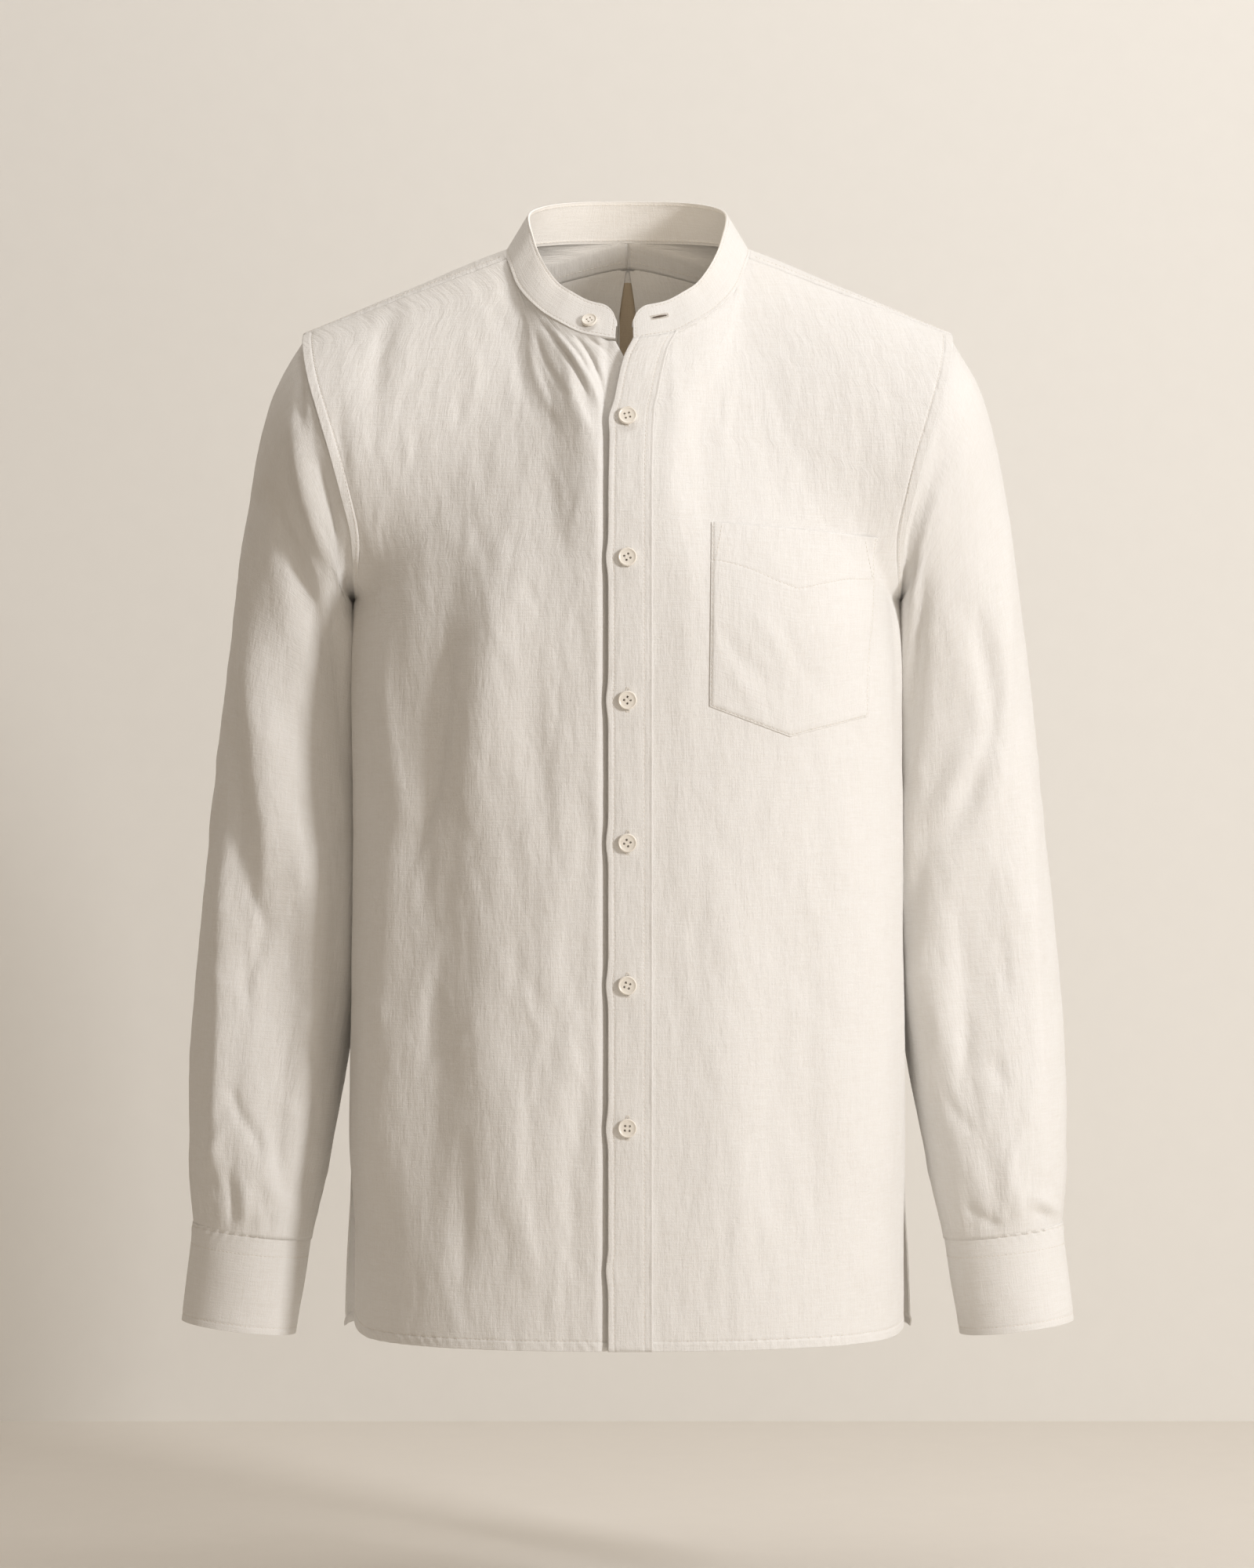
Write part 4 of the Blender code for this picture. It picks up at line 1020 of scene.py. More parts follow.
def back(u, v):
    across = np.abs(1 - 2 * u)
    side = np.where(u < 0.5, 1, -1)
    height = BACK(0 * v, v)[..., 2]
    gap, fold, rise = (PLEAT.at(height, name) for name in ("gap", "fold", "rise"))
    corner_x = (0 * gap, fold, fold + 0.0004, gap - 0.0004, gap, np.maximum(gap, fold) + 0.012)
    corner_out = (1, 1, 0.66, 0.34, 0, 0)
    x, out = 0 * gap, 0 * gap
    for low, high in zip(range(5), range(1, 6)):
        share = (across - PLEAT_KNOTS[low]) / (PLEAT_KNOTS[high] - PLEAT_KNOTS[low])
        here = (share >= 0) & (share <= 1)
        x = np.where(here, mix(corner_x[low], corner_x[high], share), x)
        out = np.where(here, mix(corner_out[low], corner_out[high], share) * rise, out)
    last = PLEAT_KNOTS[5]
    outside = across > last
    share = share_at(BACK, np.where(outside, corner_x[5], x), v)
    share = np.where(outside, mix(share, 1, (across - last) / (1 - last)), share)
    flat_u = 0.5 - side * share / 2
    point = back_smooth(flat_u, v)
    px, pz = point[..., 0], point[..., 2]
    armhole = np.linalg.norm(point - back_smooth(np.where(side > 0, 0.0, 1.0), v), axis=-1)
    fine = crease_height(BACK_CREASES, px, pz) + crinkle(px, pz, 23, 0, 0.6)
    loose = calmer_at(armhole) * smooth((1 - v) / 0.015)
    under_yoke = 0.0002 * smooth((v - 0.98) / 0.02)
    lift = (out + fold_height(BACK_FOLDS, flat_u, v, *BACK_SIZE) + fine * loose
            + edge_bands(px, v, armhole, 8) + under_yoke)
    return point + normal_of(back_smooth, flat_u, v) * lift[..., None]


item = lay("back_cloth", back, 150, 190, CLOTH, BACK_CUT, "back", "hung", upright=True,
           spacing=(EVENLY, FRONT_ROWS_AT))
# the cloth between the pleat's folds gets, on its inner shell, the linen with painted shade: the
# shadow deep in the pleat, seen from inside the shirt
for material in (LINEN, LINEN, LINEN_PAINTED_SHADE):
    item.data.materials.append(material)
item.modifiers["wall"].material_offset = 2
for face in item.data.polygons:
    x, y, z = face.center
    face.material_index = int(abs(x) < float(PLEAT.at(z, "gap")) - 0.0002 and y > 0)

# %% Yoke
YOKE_CUT = (0.205, 0.145)


def yoke_left(u, v):
    point = yoke(u, 1.012 * v)
    lift = crinkle(point[..., 0], point[..., 1], 31, 20, 0.25)
    for share in (u, 1 - u, v, 1 - v):
        lift = lift * smooth(share / 0.1)
    return point + normal_of(yoke, u, v) * lift[..., None]


YOKE_AREA = 0.0178        # it is much narrower at the armhole than at the neck

for side, place in (("left", yoke_left), ("right", mirrored(yoke_left))):
    lay(f"yoke_{side}_cloth", place, 60, 40, CLOTH, YOKE_CUT, f"yoke_{side}", "stretched",
        area=YOKE_AREA)
print("back and yoke laid")

# %% [markdown]
# ## Sleeves and cuffs
# A sleeve is one piece of cloth closed by a seam under the arm. At its head it is eased into the
# armhole, and at the wrist small pleats take it into the cuff. The hanging arm bends a little
# forward, so folds run from the armpit and gather again above the cuff.

# %% Sleeves
SLEEVE_CUT = (0.40, 0.655)    # stated; the form measures 0.456 at the upper arm by 0.632
SLEEVE_SIZE = (0.38, 0.63)
SLEEVE_RIGHT_CREASES = np.concatenate([
    (
        (-224, -70, -221, -122, -1, 3.4, -2.8, 0.0), (-226, -116, -203, -212, 3, 6.0, 5.6, -0.2),
        (-203, -205, -192, -262, 2, 6.0, 3.0, 0.0), (-214, -116, -193, -205, 2, 4.5, -2.0, 0.0),
        (-246, -164, -206, -275, -3.5, 8.0, -6.4, 0.2), (-262, -180, -268, -272, 0, 5.0, 1.5, 0.0),
        (-258, -268, -243, -446, 0, 18.0, 7.5, -0.55), (-270, -258, -264, -440, 0, 7.0, -2.5, 0.0),
        (-206, -150, -190, -250, 0, 8.0, -6.0, 0.0), (-205, -232, -198, -414, 2, 11.0, -4.5, 0.0),
        (-276, -400, -277, -545, 0, 6.5, 4.2, -0.4), (-277, -530, -282, -620, 0, 5.5, 3.4, -0.3),
        (-282, -606, -277, -657, 0, 5.0, 2.4, 0.0), (-222, -388, -214, -456, -2, 13.0, 3.6, 0.0),
        (-214, -436, -214, -530, 0, 14.0, 4.0, 0.1), (-214, -510, -221, -625, 2, 12.0, 3.4, 0.1),
        (-199, -420, -203, -570, 0, 8.0, -3.0, 0.0),
        (-258, -431, -251, -457, 0, 3.4, -2.2, 0.0), (-248, -447, -256, -492, -1, 4.0, -2.4, 0.0),
        (-262, -470, -257, -524, 1, 3.4, -1.6, 0.0), (-270, -567, -261, -592, 1, 3.4, -2.4, 0.2),
        (-262, -588, -247, -615, -1, 4.0, -2.4, 0.2), (-283, -622, -276, -655, 0, 3.2, -2.0, 0.0),
        (-272, -626, -267, -660, 0, 3.0, -2.0, 0.0), (-262, -628, -258, -660, 0, 3.0, 1.6, 0.0),
        (-240, -590, -231, -652, 2, 6.0, -2.0, 0.0), (-250, -632, -246, -662, 0, 2.8, -1.4, 0.0),
    ),
    scattered(111, 56, (-290, -655, -206, -240), -3, 15, (14, 50), (2.4, 5.0), 1.0),
])
SLEEVE_LEFT_CREASES = np.concatenate([
    (
        (221, -126, 188, -228, 6, 9.0, -4.2, 0.2), (201, -104, 191, -190, 0, 8.0, 2.2, 0.0),
        (238, -243, 249, -340, -5, 7.5, -4.2, 0.2), (250, -328, 217, -404, -3, 8.0, -4.2, 0.2),
        (222, -258, 237, -332, -3, 9.0, 2.8, 0.0), (232, -326, 211, -388, -3, 9.0, 2.8, 0.0),
        (208, -386, 192, -484, 3, 8.0, -3.2, 0.0), (252, -138, 272, -274, -2, 4.0, 1.0, 0.0),
        (224, -449, 231, -512, -2, 4.0, -2.2, 0.0), (257, -468, 259, -512, 0, 3.2, -2.2, 0.0),
        (250, -546, 257, -570, 0, 3.0, -2.4, 0.0), (231, -516, 228, -566, 0, 4.0, -1.8, 0.0),
        (217, -574, 234, -598, 2, 4.0, -1.8, 0.0), (212, -490, 222, -560, 2, 8.0, 2.0, 0.0),
        (229, -648, 262, -668, 2, 4.2, -2.4, 0.0), (276, -644, 295, -659, -2, 4.0, 2.8, -0.3),
        (272, -652, 294, -665, -2, 3.4, -2.4, 0.0), (244, -600, 252, -648, 2, 6.0, -1.8, 0.0),
        (262, -608, 258, -652, 0, 4.0, 1.5, 0.0), (284, -420, 290, -560, 0, 8.0, -1.6, 0.0),
    ),
    scattered(112, 56, (202, -650, 292, -250), 4, 15, (14, 50), (2.4, 5.0), 0.9),
])
SLEEVE_BACK_CREASES = np.concatenate([
    (
        (215, -150, 200, -290, 8, 8.0, -3.4, 0.0), (250, -200, 262, -420, -6, 9.0, 3.2, 0.0),
        (225, -420, 246, -600, 6, 8.0, -3.0, 0.0), (270, -300, 278, -520, 4, 10.0, -3.0, 0.2),
        (212, -300, 226, -470, -4, 9.0, 2.8, 0.0), (262, -560, 270, -650, 2, 6.0, -2.2, 0.0),
        (205, -170, 228, -235, 4, 7.0, 2.4, 0.2), (238, -600, 236, -655, 0, 5.0, -2.0, 0.0),
    ),
    scattered(113, 50, (200, -650, 292, -120), 4, 15, (14, 50), (2.4, 5.0), 0.9),
])


def sleeve_with(creases, seed, side):
    """One sleeve, as if on the wearer's left; side tells which way its creases were laid."""
    def place(u, v):
        fade = smooth(v / 0.06) * smooth((1 - v) / 0.04)
        soft = sum(fold_height(SLEEVE_FOLDS, u + turn, v, *SLEEVE_SIZE) for turn in (-1, 0, 1))
        point = sleeve_plain(u, v)
        x, z = point[..., 0], point[..., 2]
        front = smooth(0.5 + 1.6 * np.sin(math.tau * u))
        fine = crease_height(creases, side * x, z) * front
        fine += crease_height(SLEEVE_BACK_CREASES, x, z) * (1 - front)
        fine += crinkle(x + 0.4 * (1 - front), z, seed, side * 4, 0.6)
        to_cuff = 1 - smooth((1 - v) * 0.62 / 0.05)       # over the last 50 mm
        gather = 0.0008 * np.sin(math.tau * u * 23 + 2 * np.sin(math.tau * u * 3 + seed)) * to_cuff
        gather = gather * (0.45 + 0.55 * np.sin(math.tau * 2 * u + seed))
        lift = soft * fade + (fine * smooth(v / 0.02) + gather) * smooth((1 - v - 0.003) / 0.012)
        return point + normal_of(sleeve_plain, u, v, ring=True) * lift[..., None]
    return place


sleeve_left = sleeve_with(SLEEVE_LEFT_CREASES, 41, 1)
sleeve_right = sleeve_with(SLEEVE_RIGHT_CREASES, 43, -1)
for side, place in (("left", sleeve_left), ("right", mirrored(sleeve_right))):
    lay(f"sleeve_{side}_cloth", place, 124, 204, CLOTH, SLEEVE_CUT, f"sleeve_{side}", "hung",
        close=True)

# %% Cuffs, collar and sleeve plackets
CUFF_CUT = (0.277, 0.067)
COLLAR_CUT = (0.505, 0.032)   # stated; the form measures 0.484 to 0.537 by 0.030
SLEEVE_PLACKET_CUT = (0.022, 0.113)     # stated; the form measures 0.023 to 0.031 by 0.123
CUFF_LINES = ((0.0020, 1), (0.0141, 0.3), (0.0623, 1))      # stitch lines up a cuff, their depth
COLLAR_LINES = (0.0027, 0.0298)


def cuff_fine(u, v):
    across, along = u * CUFF_CUT[0], v * CUFF_CUT[1]
    lift = crinkle(across, along, 51, 60, 0.35) + roping(across, along, 0.005, 4)
    lift = lift + sum(depth * groove(along - line) for line, depth in CUFF_LINES)
    return cuff(u, v) + normal_of(cuff, u, v) * lift[..., None]


def collar_fine(u, v):
    """The lower edge laps over the body's neckline, so it stands out by the cloth under it."""
    across, along = u * COLLAR_CUT[0], v * COLLAR_CUT[1]
    from_end = np.minimum(across, COLLAR_CUT[0] - across)
    lift = crinkle(across, along, 61, 80, 0.12)
    lift = lift + 0.6 * sum(groove(along - line) for line in COLLAR_LINES)
    lift = lift + 0.3 * groove(from_end - 0.0022) * smooth(v / 0.1)
    lift = lift + 0.0002 * (1 - smooth(along / 0.004))
    return collar(u, v) + normal_of(collar, u, v) * lift[..., None]


def sleeve_placket(u, v):
    at = (mix(0.765, 0.850, u), mix(0.82, 0.997, v))
    return sleeve_left(*at) + normal_of(sleeve_plain, *at, ring=True) * (CLOTH + LAYER_GAP)


# rows lie close together at the rows of stitches
CUFF_ROWS_AT = ((0, 0), (0.15, 0.06), (0.27, 0.17), (0.42, 0.25), (0.60, 0.88), (0.80, 0.97),
                (1, 1))
COLLAR_SPACING = (((0, 0), (0.03, 0.01), (0.97, 0.99), (1, 1)),
                  ((0, 0), (0.18, 0.05), (0.36, 0.13), (0.62, 0.87), (0.84, 0.96), (1, 1)))
for side, place in (("left", cuff_fine), ("right", mirrored(cuff_fine))):
    lay(f"cuff_{side}_cloth", place, 150, 40, STIFF_CLOTH, CUFF_CUT, f"cuff_{side}", "folded",
        spacing=(EVENLY, CUFF_ROWS_AT))
lay("collar_cloth", collar_fine, 320, 30, STIFF_CLOTH, COLLAR_CUT, "collar_band", "folded",
    spacing=COLLAR_SPACING)
for name, place in (("left", sleeve_placket), ("right", mirrored(sleeve_placket))):
    lay(f"sleeve_placket_{name}_cloth", place, 12, 48, CLOTH, SLEEVE_PLACKET_CUT,
        f"sleeve_placket_{name}", "laid", rests_on=(f"sleeve_{name}_cloth",))
print("sleeves, cuffs and collar laid")

# %% [markdown]
# ## The button placket and the pocket
# The placket is a straight strip, folded and sewn along both edges on the wearer's left front. The
# pocket is a patch with a pointed foot. Both lie on the front, so they are made from its points,
# moved out by the cloth under them.

# %% Placket and pocket
PLACKET_LIFT = 0.0018
PLACKET_CUT = (0.0295, 0.70)
PLACKET_STITCH_LINES = (0.0042, 0.0240)        # in from its free edge
BUTTON_TOP_Z = -0.1180
BUTTON_SPACING = 0.0943
POCKET_CUT = (0.117, 0.142)   # stated; the form measures 0.122 to 0.131 across
POCKET = (                                     # u, top x, bottom x, top z, bottom z
    (0.0, 0.0554, 0.0540, -0.1880, -0.3106),
    (0.5, 0.1120, 0.1078, -0.1918, -0.3306),
    (1.0, 0.1684, 0.1610, -0.1957, -0.3168),
)

POCKET_V = (                                   # the stitched lower edge of its top hem
    (0.012, 0.792), (0.119, 0.788), (0.254, 0.767), (0.385, 0.732), (0.521, 0.707),
    (0.678, 0.736), (0.821, 0.762), (0.988, 0.766),
)
POCKET_CREASES = np.array((
    (64, -262, 98, -300, 2, 6.0, -1.0, 0.0), (78, -246, 112, -290, -2, 6.0, 0.8, 0.0),
    (100, -256, 130, -304, 3, 7.0, -0.9, 0.1), (150, -236, 122, -286, -3, 8.0, 0.8, 0.0),
    (156, -262, 140, -306, 2, 5.0, -0.8, 0.0), (68, -286, 84, -312, 0, 4.0, 0.7, 0.0),
))


def placket(u, v):
    """It runs along the edge of the front, and is drawn out a little at each button."""
    x = FRONT_LEFT(0 * u, v)[..., 0] + PLACKET_WIDTH * u
    share = share_at(FRONT_LEFT, x, v)
    across = u * PLACKET_WIDTH
    profile = 0.00018 * np.exp(-(((across - 0.0016) / 0.0016) ** 2))
    profile = profile + 0.8 * sum(groove(across - line) for line in PLACKET_STITCH_LINES)
    beside = smooth((across - 0.0240) / 0.001) * smooth((0.0285 - across) / 0.001)
    profile = profile - 0.00014 * beside
    profile = profile + 0.00026 * np.exp(-(((across - 0.0288) / 0.0006) ** 2))
    ripple = 0.0003 * np.sin(v * 60) * np.sin(v * 23) * np.sin(np.pi * u)
    lift = PLACKET_LIFT + profile + ripple
    point = front_left(share, v) + normal_of(FRONT_LEFT, share, v) * lift[..., None]
    half = BUTTON_SPACING / 2
    from_button = (point[..., 2] - BUTTON_TOP_Z + half) % BUTTON_SPACING - half
    point[..., 0] -= 0.0015 * np.exp(-((from_button / 0.009) ** 2)) * (1 - u) ** 3
    return point


def front_share_at(x, z):
    """The u and v of the wearer's left front at a width and a height."""
    x, z = np.broadcast_arrays(np.asarray(x, float), np.asarray(z, float))
    about = 0.70        # the panel's height, near enough for each step to close in
    v = np.clip((z - HEM_Z) / about, 0, 1)
    for _ in range(9):
        u = share_at(FRONT_LEFT, x, v)
        v = np.clip(v + (z - FRONT_LEFT(u, v)[..., 2]) / about, 0, 1)
    return u, v


def pocket_at(u, v):
    """The front's u and v under a point of the pocket."""
    keys, *columns = np.array(POCKET).T
    top_x, bottom_x, top_z, bottom_z = (np.interp(u, keys, column) for column in columns)
    return front_share_at(mix(bottom_x, top_x, v), mix(bottom_z, top_z, v))


def pocket(u, v):
    at = pocket_at(u, v)
    from_edge = np.minimum(np.minimum(u, 1 - u) * POCKET_CUT[0], v * POCKET_CUT[1])
    above_v = (v - np.interp(u, *np.array(POCKET_V).T)) * POCKET_CUT[1]
    puff = 0.0010 * np.sin(np.pi * u) ** 0.7 * np.sin(np.pi * np.clip(v * 0.98, 0, 1)) ** 0.7
    lift = mix(0.0007, CLOTH + LAYER_GAP, smooth(from_edge / 0.003)) + puff
    lift = lift + 0.7 * groove(from_edge - 0.0015) + 0.8 * groove(above_v)
    point = front_left(*at)
    lift = lift + crease_height(POCKET_CREASES, point[..., 0], point[..., 2])
    return point + normal_of(FRONT_LEFT, *at) * lift[..., None]


PLACKET_COLUMNS_AT = ((0, 0), (0.10, 0.08), (0.32, 0.20), (0.52, 0.76), (0.76, 0.87), (1, 1))
lay("placket_cloth", placket, 34, 250, CLOTH, PLACKET_CUT, "placket", "laid",
    rests_on=("front_left_cloth",), spacing=(PLACKET_COLUMNS_AT, EVENLY))
POCKET_SPACING = (((0, 0), (0.12, 0.025), (0.88, 0.975), (1, 1)),
                  ((0, 0), (0.06, 0.02), (0.35, 0.68), (0.85, 0.81), (1, 1)))
lay("pocket_cloth", pocket, 70, 120, CLOTH, POCKET_CUT, "pocket", "laid",
    rests_on=("front_left_cloth",), spacing=POCKET_SPACING)
print("placket and pocket laid")

# %% [markdown]
# ## Stitches
# Every seam is topstitched with a matching thread, about three and a half stitches to the
# centimetre. A stitch is a short round-ended rod that sinks into the cloth at both ends. One rod is
# made once and then set along each row, and each group of rows is joined into a single piece.

# %% Rows of stitches
STITCH_PITCH = 0.0029
STITCH_LENGTH = 0.0020
STITCH_WIDTH = 0.00048
THREAD_LIFT = 0.00006     # how far the middle of a stitch stands off the cloth


def stitch_rod():
    """The corners and faces of one stitch, a metre long and a metre wide."""
    rod = bmesh.new()
    bmesh.ops.create_uvsphere(rod, u_segments=6, v_segments=4, radius=0.5,
                              matrix=Matrix.Rotation(math.pi / 2, 4, "Y"))
    corners = np.array([vert.co[:] for vert in rod.verts])
    faces = [[vert.index for vert in face.verts] for face in rod.faces]
    rod.free()
    return corners, faces


ROD_CORNERS, ROD_FACES = stitch_rod()


def rods_mesh(name, centres, along, out, length, width, material=THREAD):
    """One mesh of rods, each by its centre, its direction and the direction out of the cloth."""
    side = unit(np.cross(out, along))
    length, width = (np.broadcast_to(size, len(centres))[:, None] for size in (length, width))
    frames = np.stack([along * length, side * width, out * width], axis=1)
    corners = centres[:, None, :] + ROD_CORNERS @ frames
    starts = len(ROD_CORNERS) * np.arange(len(centres))
    faces = [[start + corner for corner in face] for start in starts.tolist() for face in ROD_FACES]
    mesh = bpy.data.meshes.new(name)
    mesh.from_pydata(corners.reshape(-1, 3).tolist(), [], faces)
    mesh.shade_smooth()
    mesh.materials.append(material)
    return mesh


def along_row(place, path, pitch):
    """Evenly spaced u, v along a path laid on a piece of cloth, and those 1 mm before and after."""
    corners = np.array(path, float)
    steps = np.linspace(0, len(corners) - 1, 60 * (len(corners) - 1) + 1)
    u, v = (np.interp(steps, np.arange(len(corners)), corners[:, axis]) for axis in (0, 1))
    run = np.concatenate([[0], np.cumsum(np.linalg.norm(np.diff(place(u, v), axis=0), axis=1))])
    at = np.arange(pitch / 2, run[-1], pitch)
    return [(np.interp(at + shift, run, u), np.interp(at + shift, run, v))
            for shift in (0, -0.001, 0.001)]


def stitches(name, rows, thickness=CLOTH, side=1):
    """Rows of stitches on a piece's outer face (side 1) or inner face (side -1)."""
    centres, along, out = [], [], []
    for place, path in rows:
        here, before, after = along_row(place, path, STITCH_PITCH)
        normal = normal_of(place, *here) * side
        centres.append(place(*here) + normal * (thickness / 2 + THREAD_LIFT))
        along.append(unit(place(*after) - place(*before)))
        out.append(normal)
    mesh = rods_mesh(name, *map(np.concatenate, (centres, along, out)), STITCH_LENGTH, STITCH_WIDTH)
    ride(bpy.data.objects.new(name, mesh))
    return sum(map(len, centres))


def mirrored_rows(rows):
    return [(mirrored(place), [(1 - u, v) for u, v in path]) for place, path in rows]


def level(v, *columns):
    """A path at one height of a piece."""
    return [(u, v) for u in columns]


def upright_row(u, *heights):
    """A path at one place across a piece."""
    return [(u, v) for v in heights]


HEM_ROW = 0.0094
FELL_HEIGHTS = (0.705, 0.8, 0.9)
SIDE_HEIGHTS = (0.012, 0.12, 0.4, 0.69)
front_rows = (
    (placket, upright_row(0.1424, 0.006, 0.5, 0.995)),
    (placket, upright_row(0.8136, 0.006, 0.5, 0.995)),
    (front_left, level(HEM_ROW, 0.13, 0.6, 0.985)),
    (front_right, level(HEM_ROW, 0.015, 0.5, 0.93)),
    (front_left, upright_row(0.971, *FELL_HEIGHTS, 0.992)),
    (front_right, upright_row(0.029, *FELL_HEIGHTS, 0.992)),
    (front_left, upright_row(0.985, *SIDE_HEIGHTS)),
    (front_right, upright_row(0.015, *SIDE_HEIGHTS)),
)
pocket_rows = (
    (pocket, ((0.012, 0.985), (0.012, 0.4), (0.012, 0.012), (0.5, 0.012), (0.988, 0.012),
              (0.988, 0.4), (0.988, 0.985))),
    (pocket, POCKET_V),
    (pocket, ((0.060, 0.985), (0.026, 0.800))),
    (pocket, ((0.925, 0.975), (0.974, 0.775))),
)
back_rows = (
    (back, level(HEM_ROW, 0.015, 0.5, 0.985)),
    (back, upright_row(0.0135, *FELL_HEIGHTS, 0.99)),
    (back, upright_row(0.9865, *FELL_HEIGHTS, 0.99)),
)
YOKE_PATHS = (((0.03, 0.035), (0.97, 0.06)), ((0.02, 0.955), (0.97, 0.93)))
COLLAR_PATHS = (
    ((0.004, 0.10), (0.25, 0.085), (0.5, 0.085), (0.75, 0.085), (0.996, 0.10)),
    ((0.004, 0.10), (0.004, 0.88), (0.012, 0.93), (0.25, 0.93), (0.5, 0.93), (0.75, 0.93),
     (0.988, 0.93), (0.996, 0.88), (0.996, 0.10)),
)
CUFF_PATHS = [level(v, 0.01, 0.5, 0.99) for v in (0.030, 0.930, 0.210)]
CUFF_PATHS.append(upright_row(0.988, 0.030, 0.930))
SLEEVE_PATHS = [upright_row(u, 0.01, 0.4, 0.7, 0.99) for u in (0.492, 0.508)]
yoke_rows = [(yoke_left, path) for path in YOKE_PATHS]
centre_seam = [(yoke_left, ((0.012, 0.875), (0.012, 0.99)))]
collar_rows = [(collar_fine, path) for path in COLLAR_PATHS]
cuff_rows = [(cuff_fine, path) for path in CUFF_PATHS]
both_yokes = yoke_rows + mirrored_rows(yoke_rows)
sleeve_left_rows = [(sleeve_left, path) for path in SLEEVE_PATHS]
sleeve_right_rows = mirrored_rows([(sleeve_right, path) for path in SLEEVE_PATHS])
STITCHED = (              # name, rows, thickness of the cloth, outer or inner face
    ("front", front_rows, CLOTH, 1),
    ("pocket", pocket_rows, CLOTH, 1),
    ("back", back_rows, CLOTH, 1),
    ("yoke", both_yokes, CLOTH, 1),
    ("yoke_inner", both_yokes + centre_seam, CLOTH, -1),
    ("collar", collar_rows, STIFF_CLOTH, 1),
    ("collar_inner", collar_rows, STIFF_CLOTH, -1),
    ("cuff", cuff_rows + mirrored_rows(cuff_rows), STIFF_CLOTH, 1),
    ("sleeve_left", sleeve_left_rows, CLOTH, 1),
    ("sleeve_right", sleeve_right_rows, CLOTH, 1),
)
count = sum(stitches(f"{name}_stitches", *row) for name, *row in STITCHED)
print(count, "stitches")

# %% [markdown]
# ## Buttons and buttonholes
# The buttons are turned from shell: a dished middle inside a raised, rounded rim, drilled with four
# holes and sewn through them in two bars. A buttonhole is a slit with close satin stitches along
# both its sides and a bar across each end. On the placket it stands upright under its button, and
# on the collar it lies along the band.

# %% Buttons
BUTTON_RADIUS = 0.0063
COLLAR_BUTTON_RADIUS = 0.0053
BUTTON_THICKNESS = 0.0026
BUTTON_PROFILE = (
    (0.0, 0.06), (0.78, 0.0), (0.90, 0.10), (0.985, 0.34), (1.0, 0.58), (0.985, 0.80),
    (0.945, 0.95), (0.895, 1.0), (0.845, 0.97), (0.80, 0.90), (0.74, 0.84), (0.64, 0.80),
    (0.40, 0.78), (0.0, 0.77),
)
HOLE_OFFSET = 0.24        # of the radius, from the middle in both directions
HOLE_RADIUS = 0.125
SATIN_PITCH = 0.00048     # of the close stitches round a buttonhole


def button_mesh(name, radius):
    """A turned button, not yet bored."""
    turned = bmesh.new()
    corners = [turned.verts.new((reach * radius, 0, height * BUTTON_THICKNESS))
               for reach, height in BUTTON_PROFILE]
    edges = [turned.edges.new(pair) for pair in zip(corners, corners[1:])]
    bmesh.ops.spin(turned, geom=corners + edges, cent=(0, 0, 0), axis=(0, 0, 1), angle=math.tau,
                   steps=48, use_merge=True)
    bmesh.ops.remove_doubles(turned, verts=turned.verts, dist=0.000005)
    bmesh.ops.recalc_face_normals(turned, faces=turned.faces)
    mesh = bpy.data.meshes.new(name)
    turned.to_mesh(mesh)
    turned.free()
    mesh.materials.append(SHELL)
    return mesh


def hole_rods(name, radius):
    """Four rods, where the button's holes are to be."""
    rods = bmesh.new()
    away, bore = HOLE_OFFSET * radius, HOLE_RADIUS * radius
    for x, y in ((-away, -away), (-away, away), (away, -away), (away, away)):
        bmesh.ops.create_cone(rods, cap_ends=True, segments=16, radius1=bore, radius2=bore,
                              depth=0.01, matrix=Matrix.Translation((x, y, 0.001)))
    mesh = bpy.data.meshes.new(name)
    rods.to_mesh(mesh)
    rods.free()
    return mesh


def bored(mesh, rods):
    """The mesh with the rods cut out of it."""
    item = bpy.data.objects.new("boring", mesh)
    cutter = bpy.data.objects.new("boring_rods", rods)
    for thing in (item, cutter):
        bpy.context.scene.collection.objects.link(thing)
    cut = item.modifiers.new("holes", "BOOLEAN")
    cut.object = cutter
    cut.solver = "EXACT"
    bpy.context.view_layer.update()
    graph = bpy.context.evaluated_depsgraph_get()
    done = bpy.data.meshes.new_from_object(item.evaluated_get(graph))
    for thing in (item, cutter):
        bpy.data.objects.remove(thing)
    done.shade_smooth()
    done.set_sharp_from_angle(angle=math.radians(35))
    return done


BUTTON_MESHES = {
    radius: bored(button_mesh("button_shape", radius), hole_rods("button_holes", radius))
    for radius in (BUTTON_RADIUS, COLLAR_BUTTON_RADIUS)
}


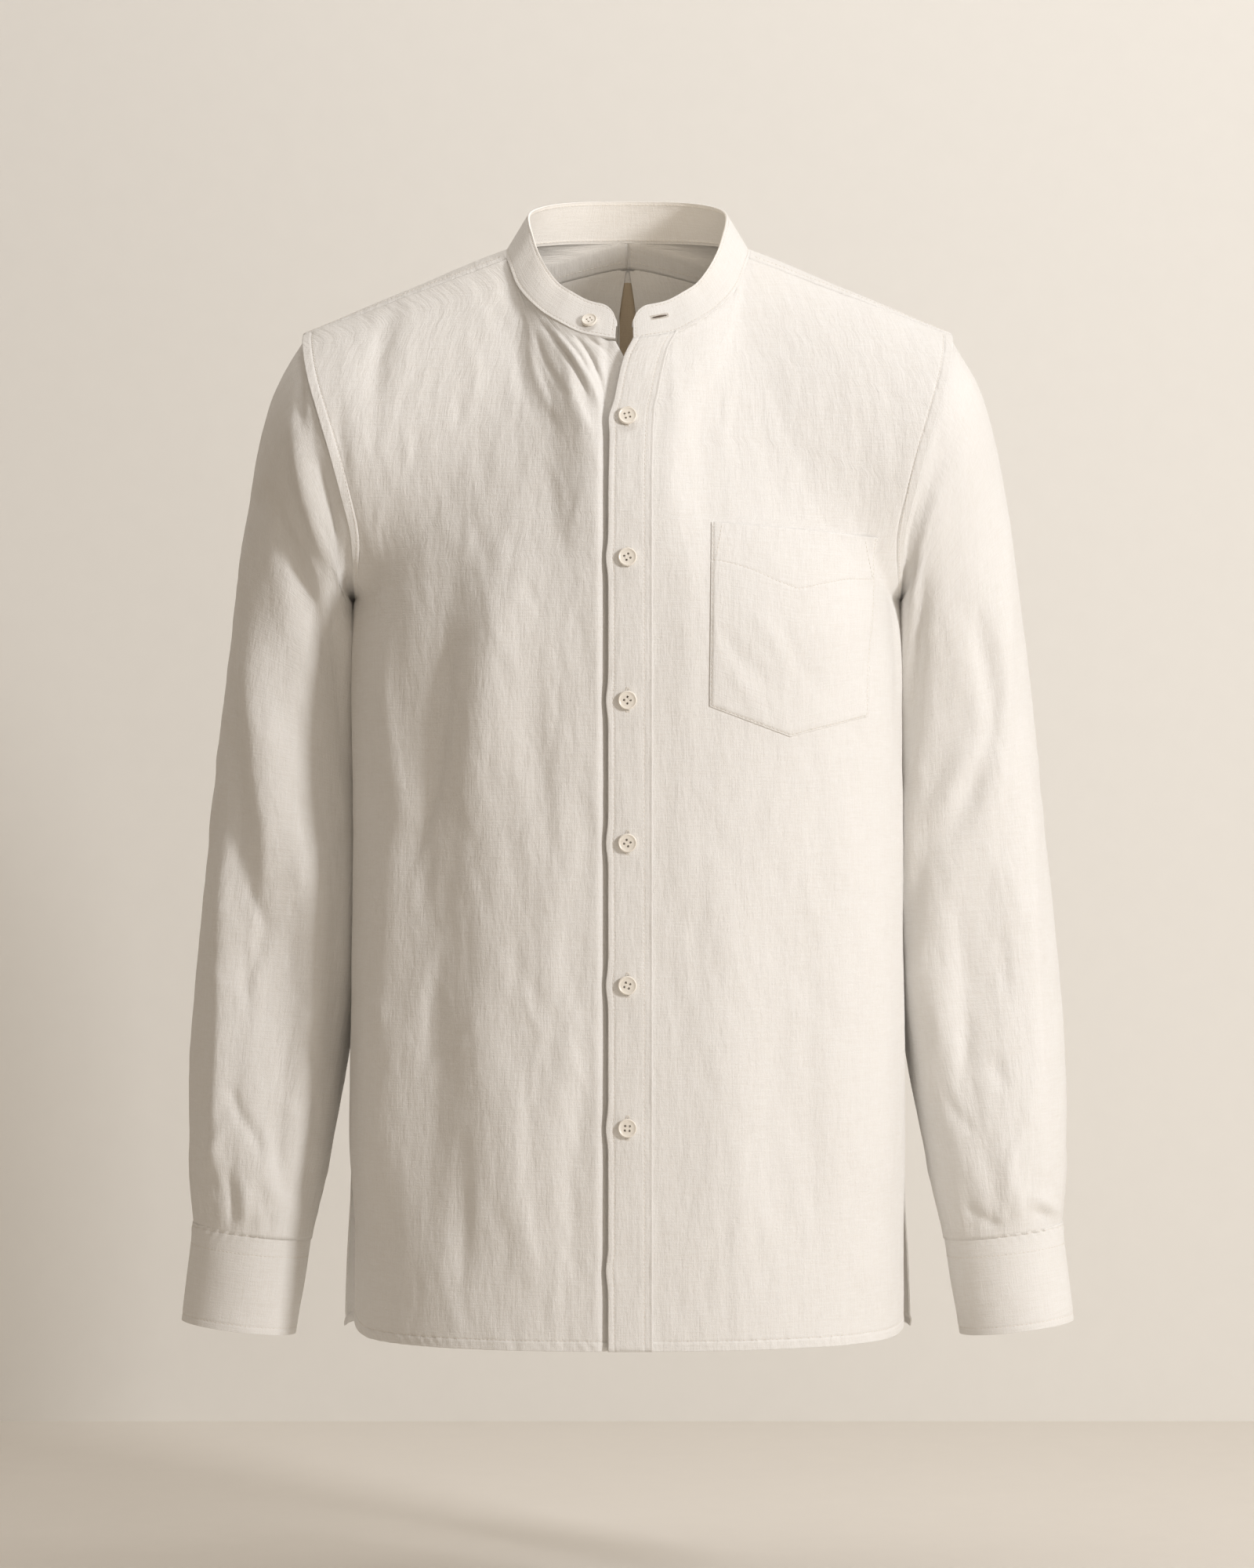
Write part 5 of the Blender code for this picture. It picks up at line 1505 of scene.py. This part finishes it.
def set_button(number_or_name, place, u, v, thickness, radius, turn):
    """A button and its thread on a piece's outer face, at the place of its solid."""
    normal = Vector(normal_of(place, np.array([u]), np.array([v]))[0])
    seat = Vector(place(np.array([u]), np.array([v]))[0]) + normal * (thickness / 2 + 0.0005)
    name = f"button_{number_or_name}"
    mesh = BUTTON_MESHES[radius].copy()
    mesh.name = name + "_turned"
    stand = Matrix.Translation(seat) @ normal.to_track_quat("Z", "Y").to_matrix().to_4x4()
    stand = stand @ Matrix.Rotation(turn, 4, "Z")
    mesh.transform(stand)
    item = bpy.data.objects.new(name + "_turned", mesh)
    ride(item, name)
    away = HOLE_OFFSET * radius
    axes = np.array(stand.to_3x3()).T
    bar = np.array((seat + normal * (0.79 * BUTTON_THICKNESS))[:])
    shank = np.array((seat + normal * (0.2 * BUTTON_THICKNESS))[:])
    # two bars across the dished middle, and the shank of thread under the button
    thread = rods_mesh(name + "_thread",
                       np.array([bar - axes[0] * away, bar + axes[0] * away, shank]),
                       np.array([axes[1], axes[1], axes[2]]), np.array([axes[2], axes[2], axes[1]]),
                       [2.1 * away] * 2 + [0.0025], [0.00036] * 2 + [0.0016])
    ride(bpy.data.objects.new(name + "_thread", thread))


def buttonhole(name, place, u, v, u_run, v_run, length, thickness, gape):
    """A worked slit centred at u, v, open by its gape.

    u_run and v_run are the change of u and v along 1 m of it.
    """
    steps = np.arange(-length / 2, length / 2, SATIN_PITCH)
    ends = np.array([-length / 2, -length / 2 + 0.0005, length / 2, length / 2 + 0.0005])
    at = np.concatenate([steps, steps, ends])
    away = gape / 2 + 0.0007
    aside = np.concatenate([0 * steps + away, 0 * steps - away, 0 * ends])
    spot_u, spot_v = u + u_run * at, v + v_run * at
    normal = normal_of(place, spot_u, spot_v)
    ahead = place(np.array([u - u_run * 0.002, u + u_run * 0.002]),
                  np.array([v - v_run * 0.002, v + v_run * 0.002]))
    across = unit(np.cross(normal, unit(ahead[1] - ahead[0])))
    off = normal * (thickness / 2 + THREAD_LIFT)
    centres = place(spot_u, spot_v) + across * aside[:, None] + off
    lengths = [0.0012] * (2 * len(steps)) + [0.0026] * len(ends)
    mesh = rods_mesh(name, centres, across, normal, lengths, 0.00044)
    ride(bpy.data.objects.new(name, mesh))
    # the slit is a thin dark sheet: painted shadow for the opening between the worked edges
    middle = place(np.array([u]), np.array([v])) + normal[:1] * (thickness / 2 + 0.0001)
    slit = rods_mesh(name + "_slit", middle, unit(ahead[1:] - ahead[:1]), normal[:1],
                     [length - 0.001], [gape], SLIT_PAINTED_SHADOW)
    ride(bpy.data.objects.new(name + "_slit", slit))


for number in range(1, 7):
    height = BUTTON_TOP_Z - (number - 1) * BUTTON_SPACING
    v = float(front_share_at(0.0, height)[1])
    across = float(-FRONT_LEFT(np.array([0.0]), np.array([v]))[0, 0] / PLACKET_WIDTH)
    set_button(number, placket, across, v, CLOTH, BUTTON_RADIUS, 0.25 * number)
    buttonhole(f"buttonhole_{number}", placket, across, v, 0.0, 1 / PANEL_HEIGHT, 0.0158, CLOTH,
               0.0005)
set_button("collar", collar_fine, 0.962, 0.37, STIFF_CLOTH, COLLAR_BUTTON_RADIUS, 0.6)
buttonhole("buttonhole_collar", collar_fine, 0.040, 0.57, 1 / COLLAR_CUT[0], 0.0, 0.013,
           STIFF_CLOTH, 0.0016)
from_end = 0.011 / CUFF_CUT[0]
for side, place, u, turn in (
    ("left", cuff_fine, 1 - from_end, 0.3),
    ("right", mirrored(cuff_fine), from_end, 1.1),
):
    set_button(f"cuff_{side}", place, u, 0.45, STIFF_CLOTH, COLLAR_BUTTON_RADIUS, turn)
print("buttons set")
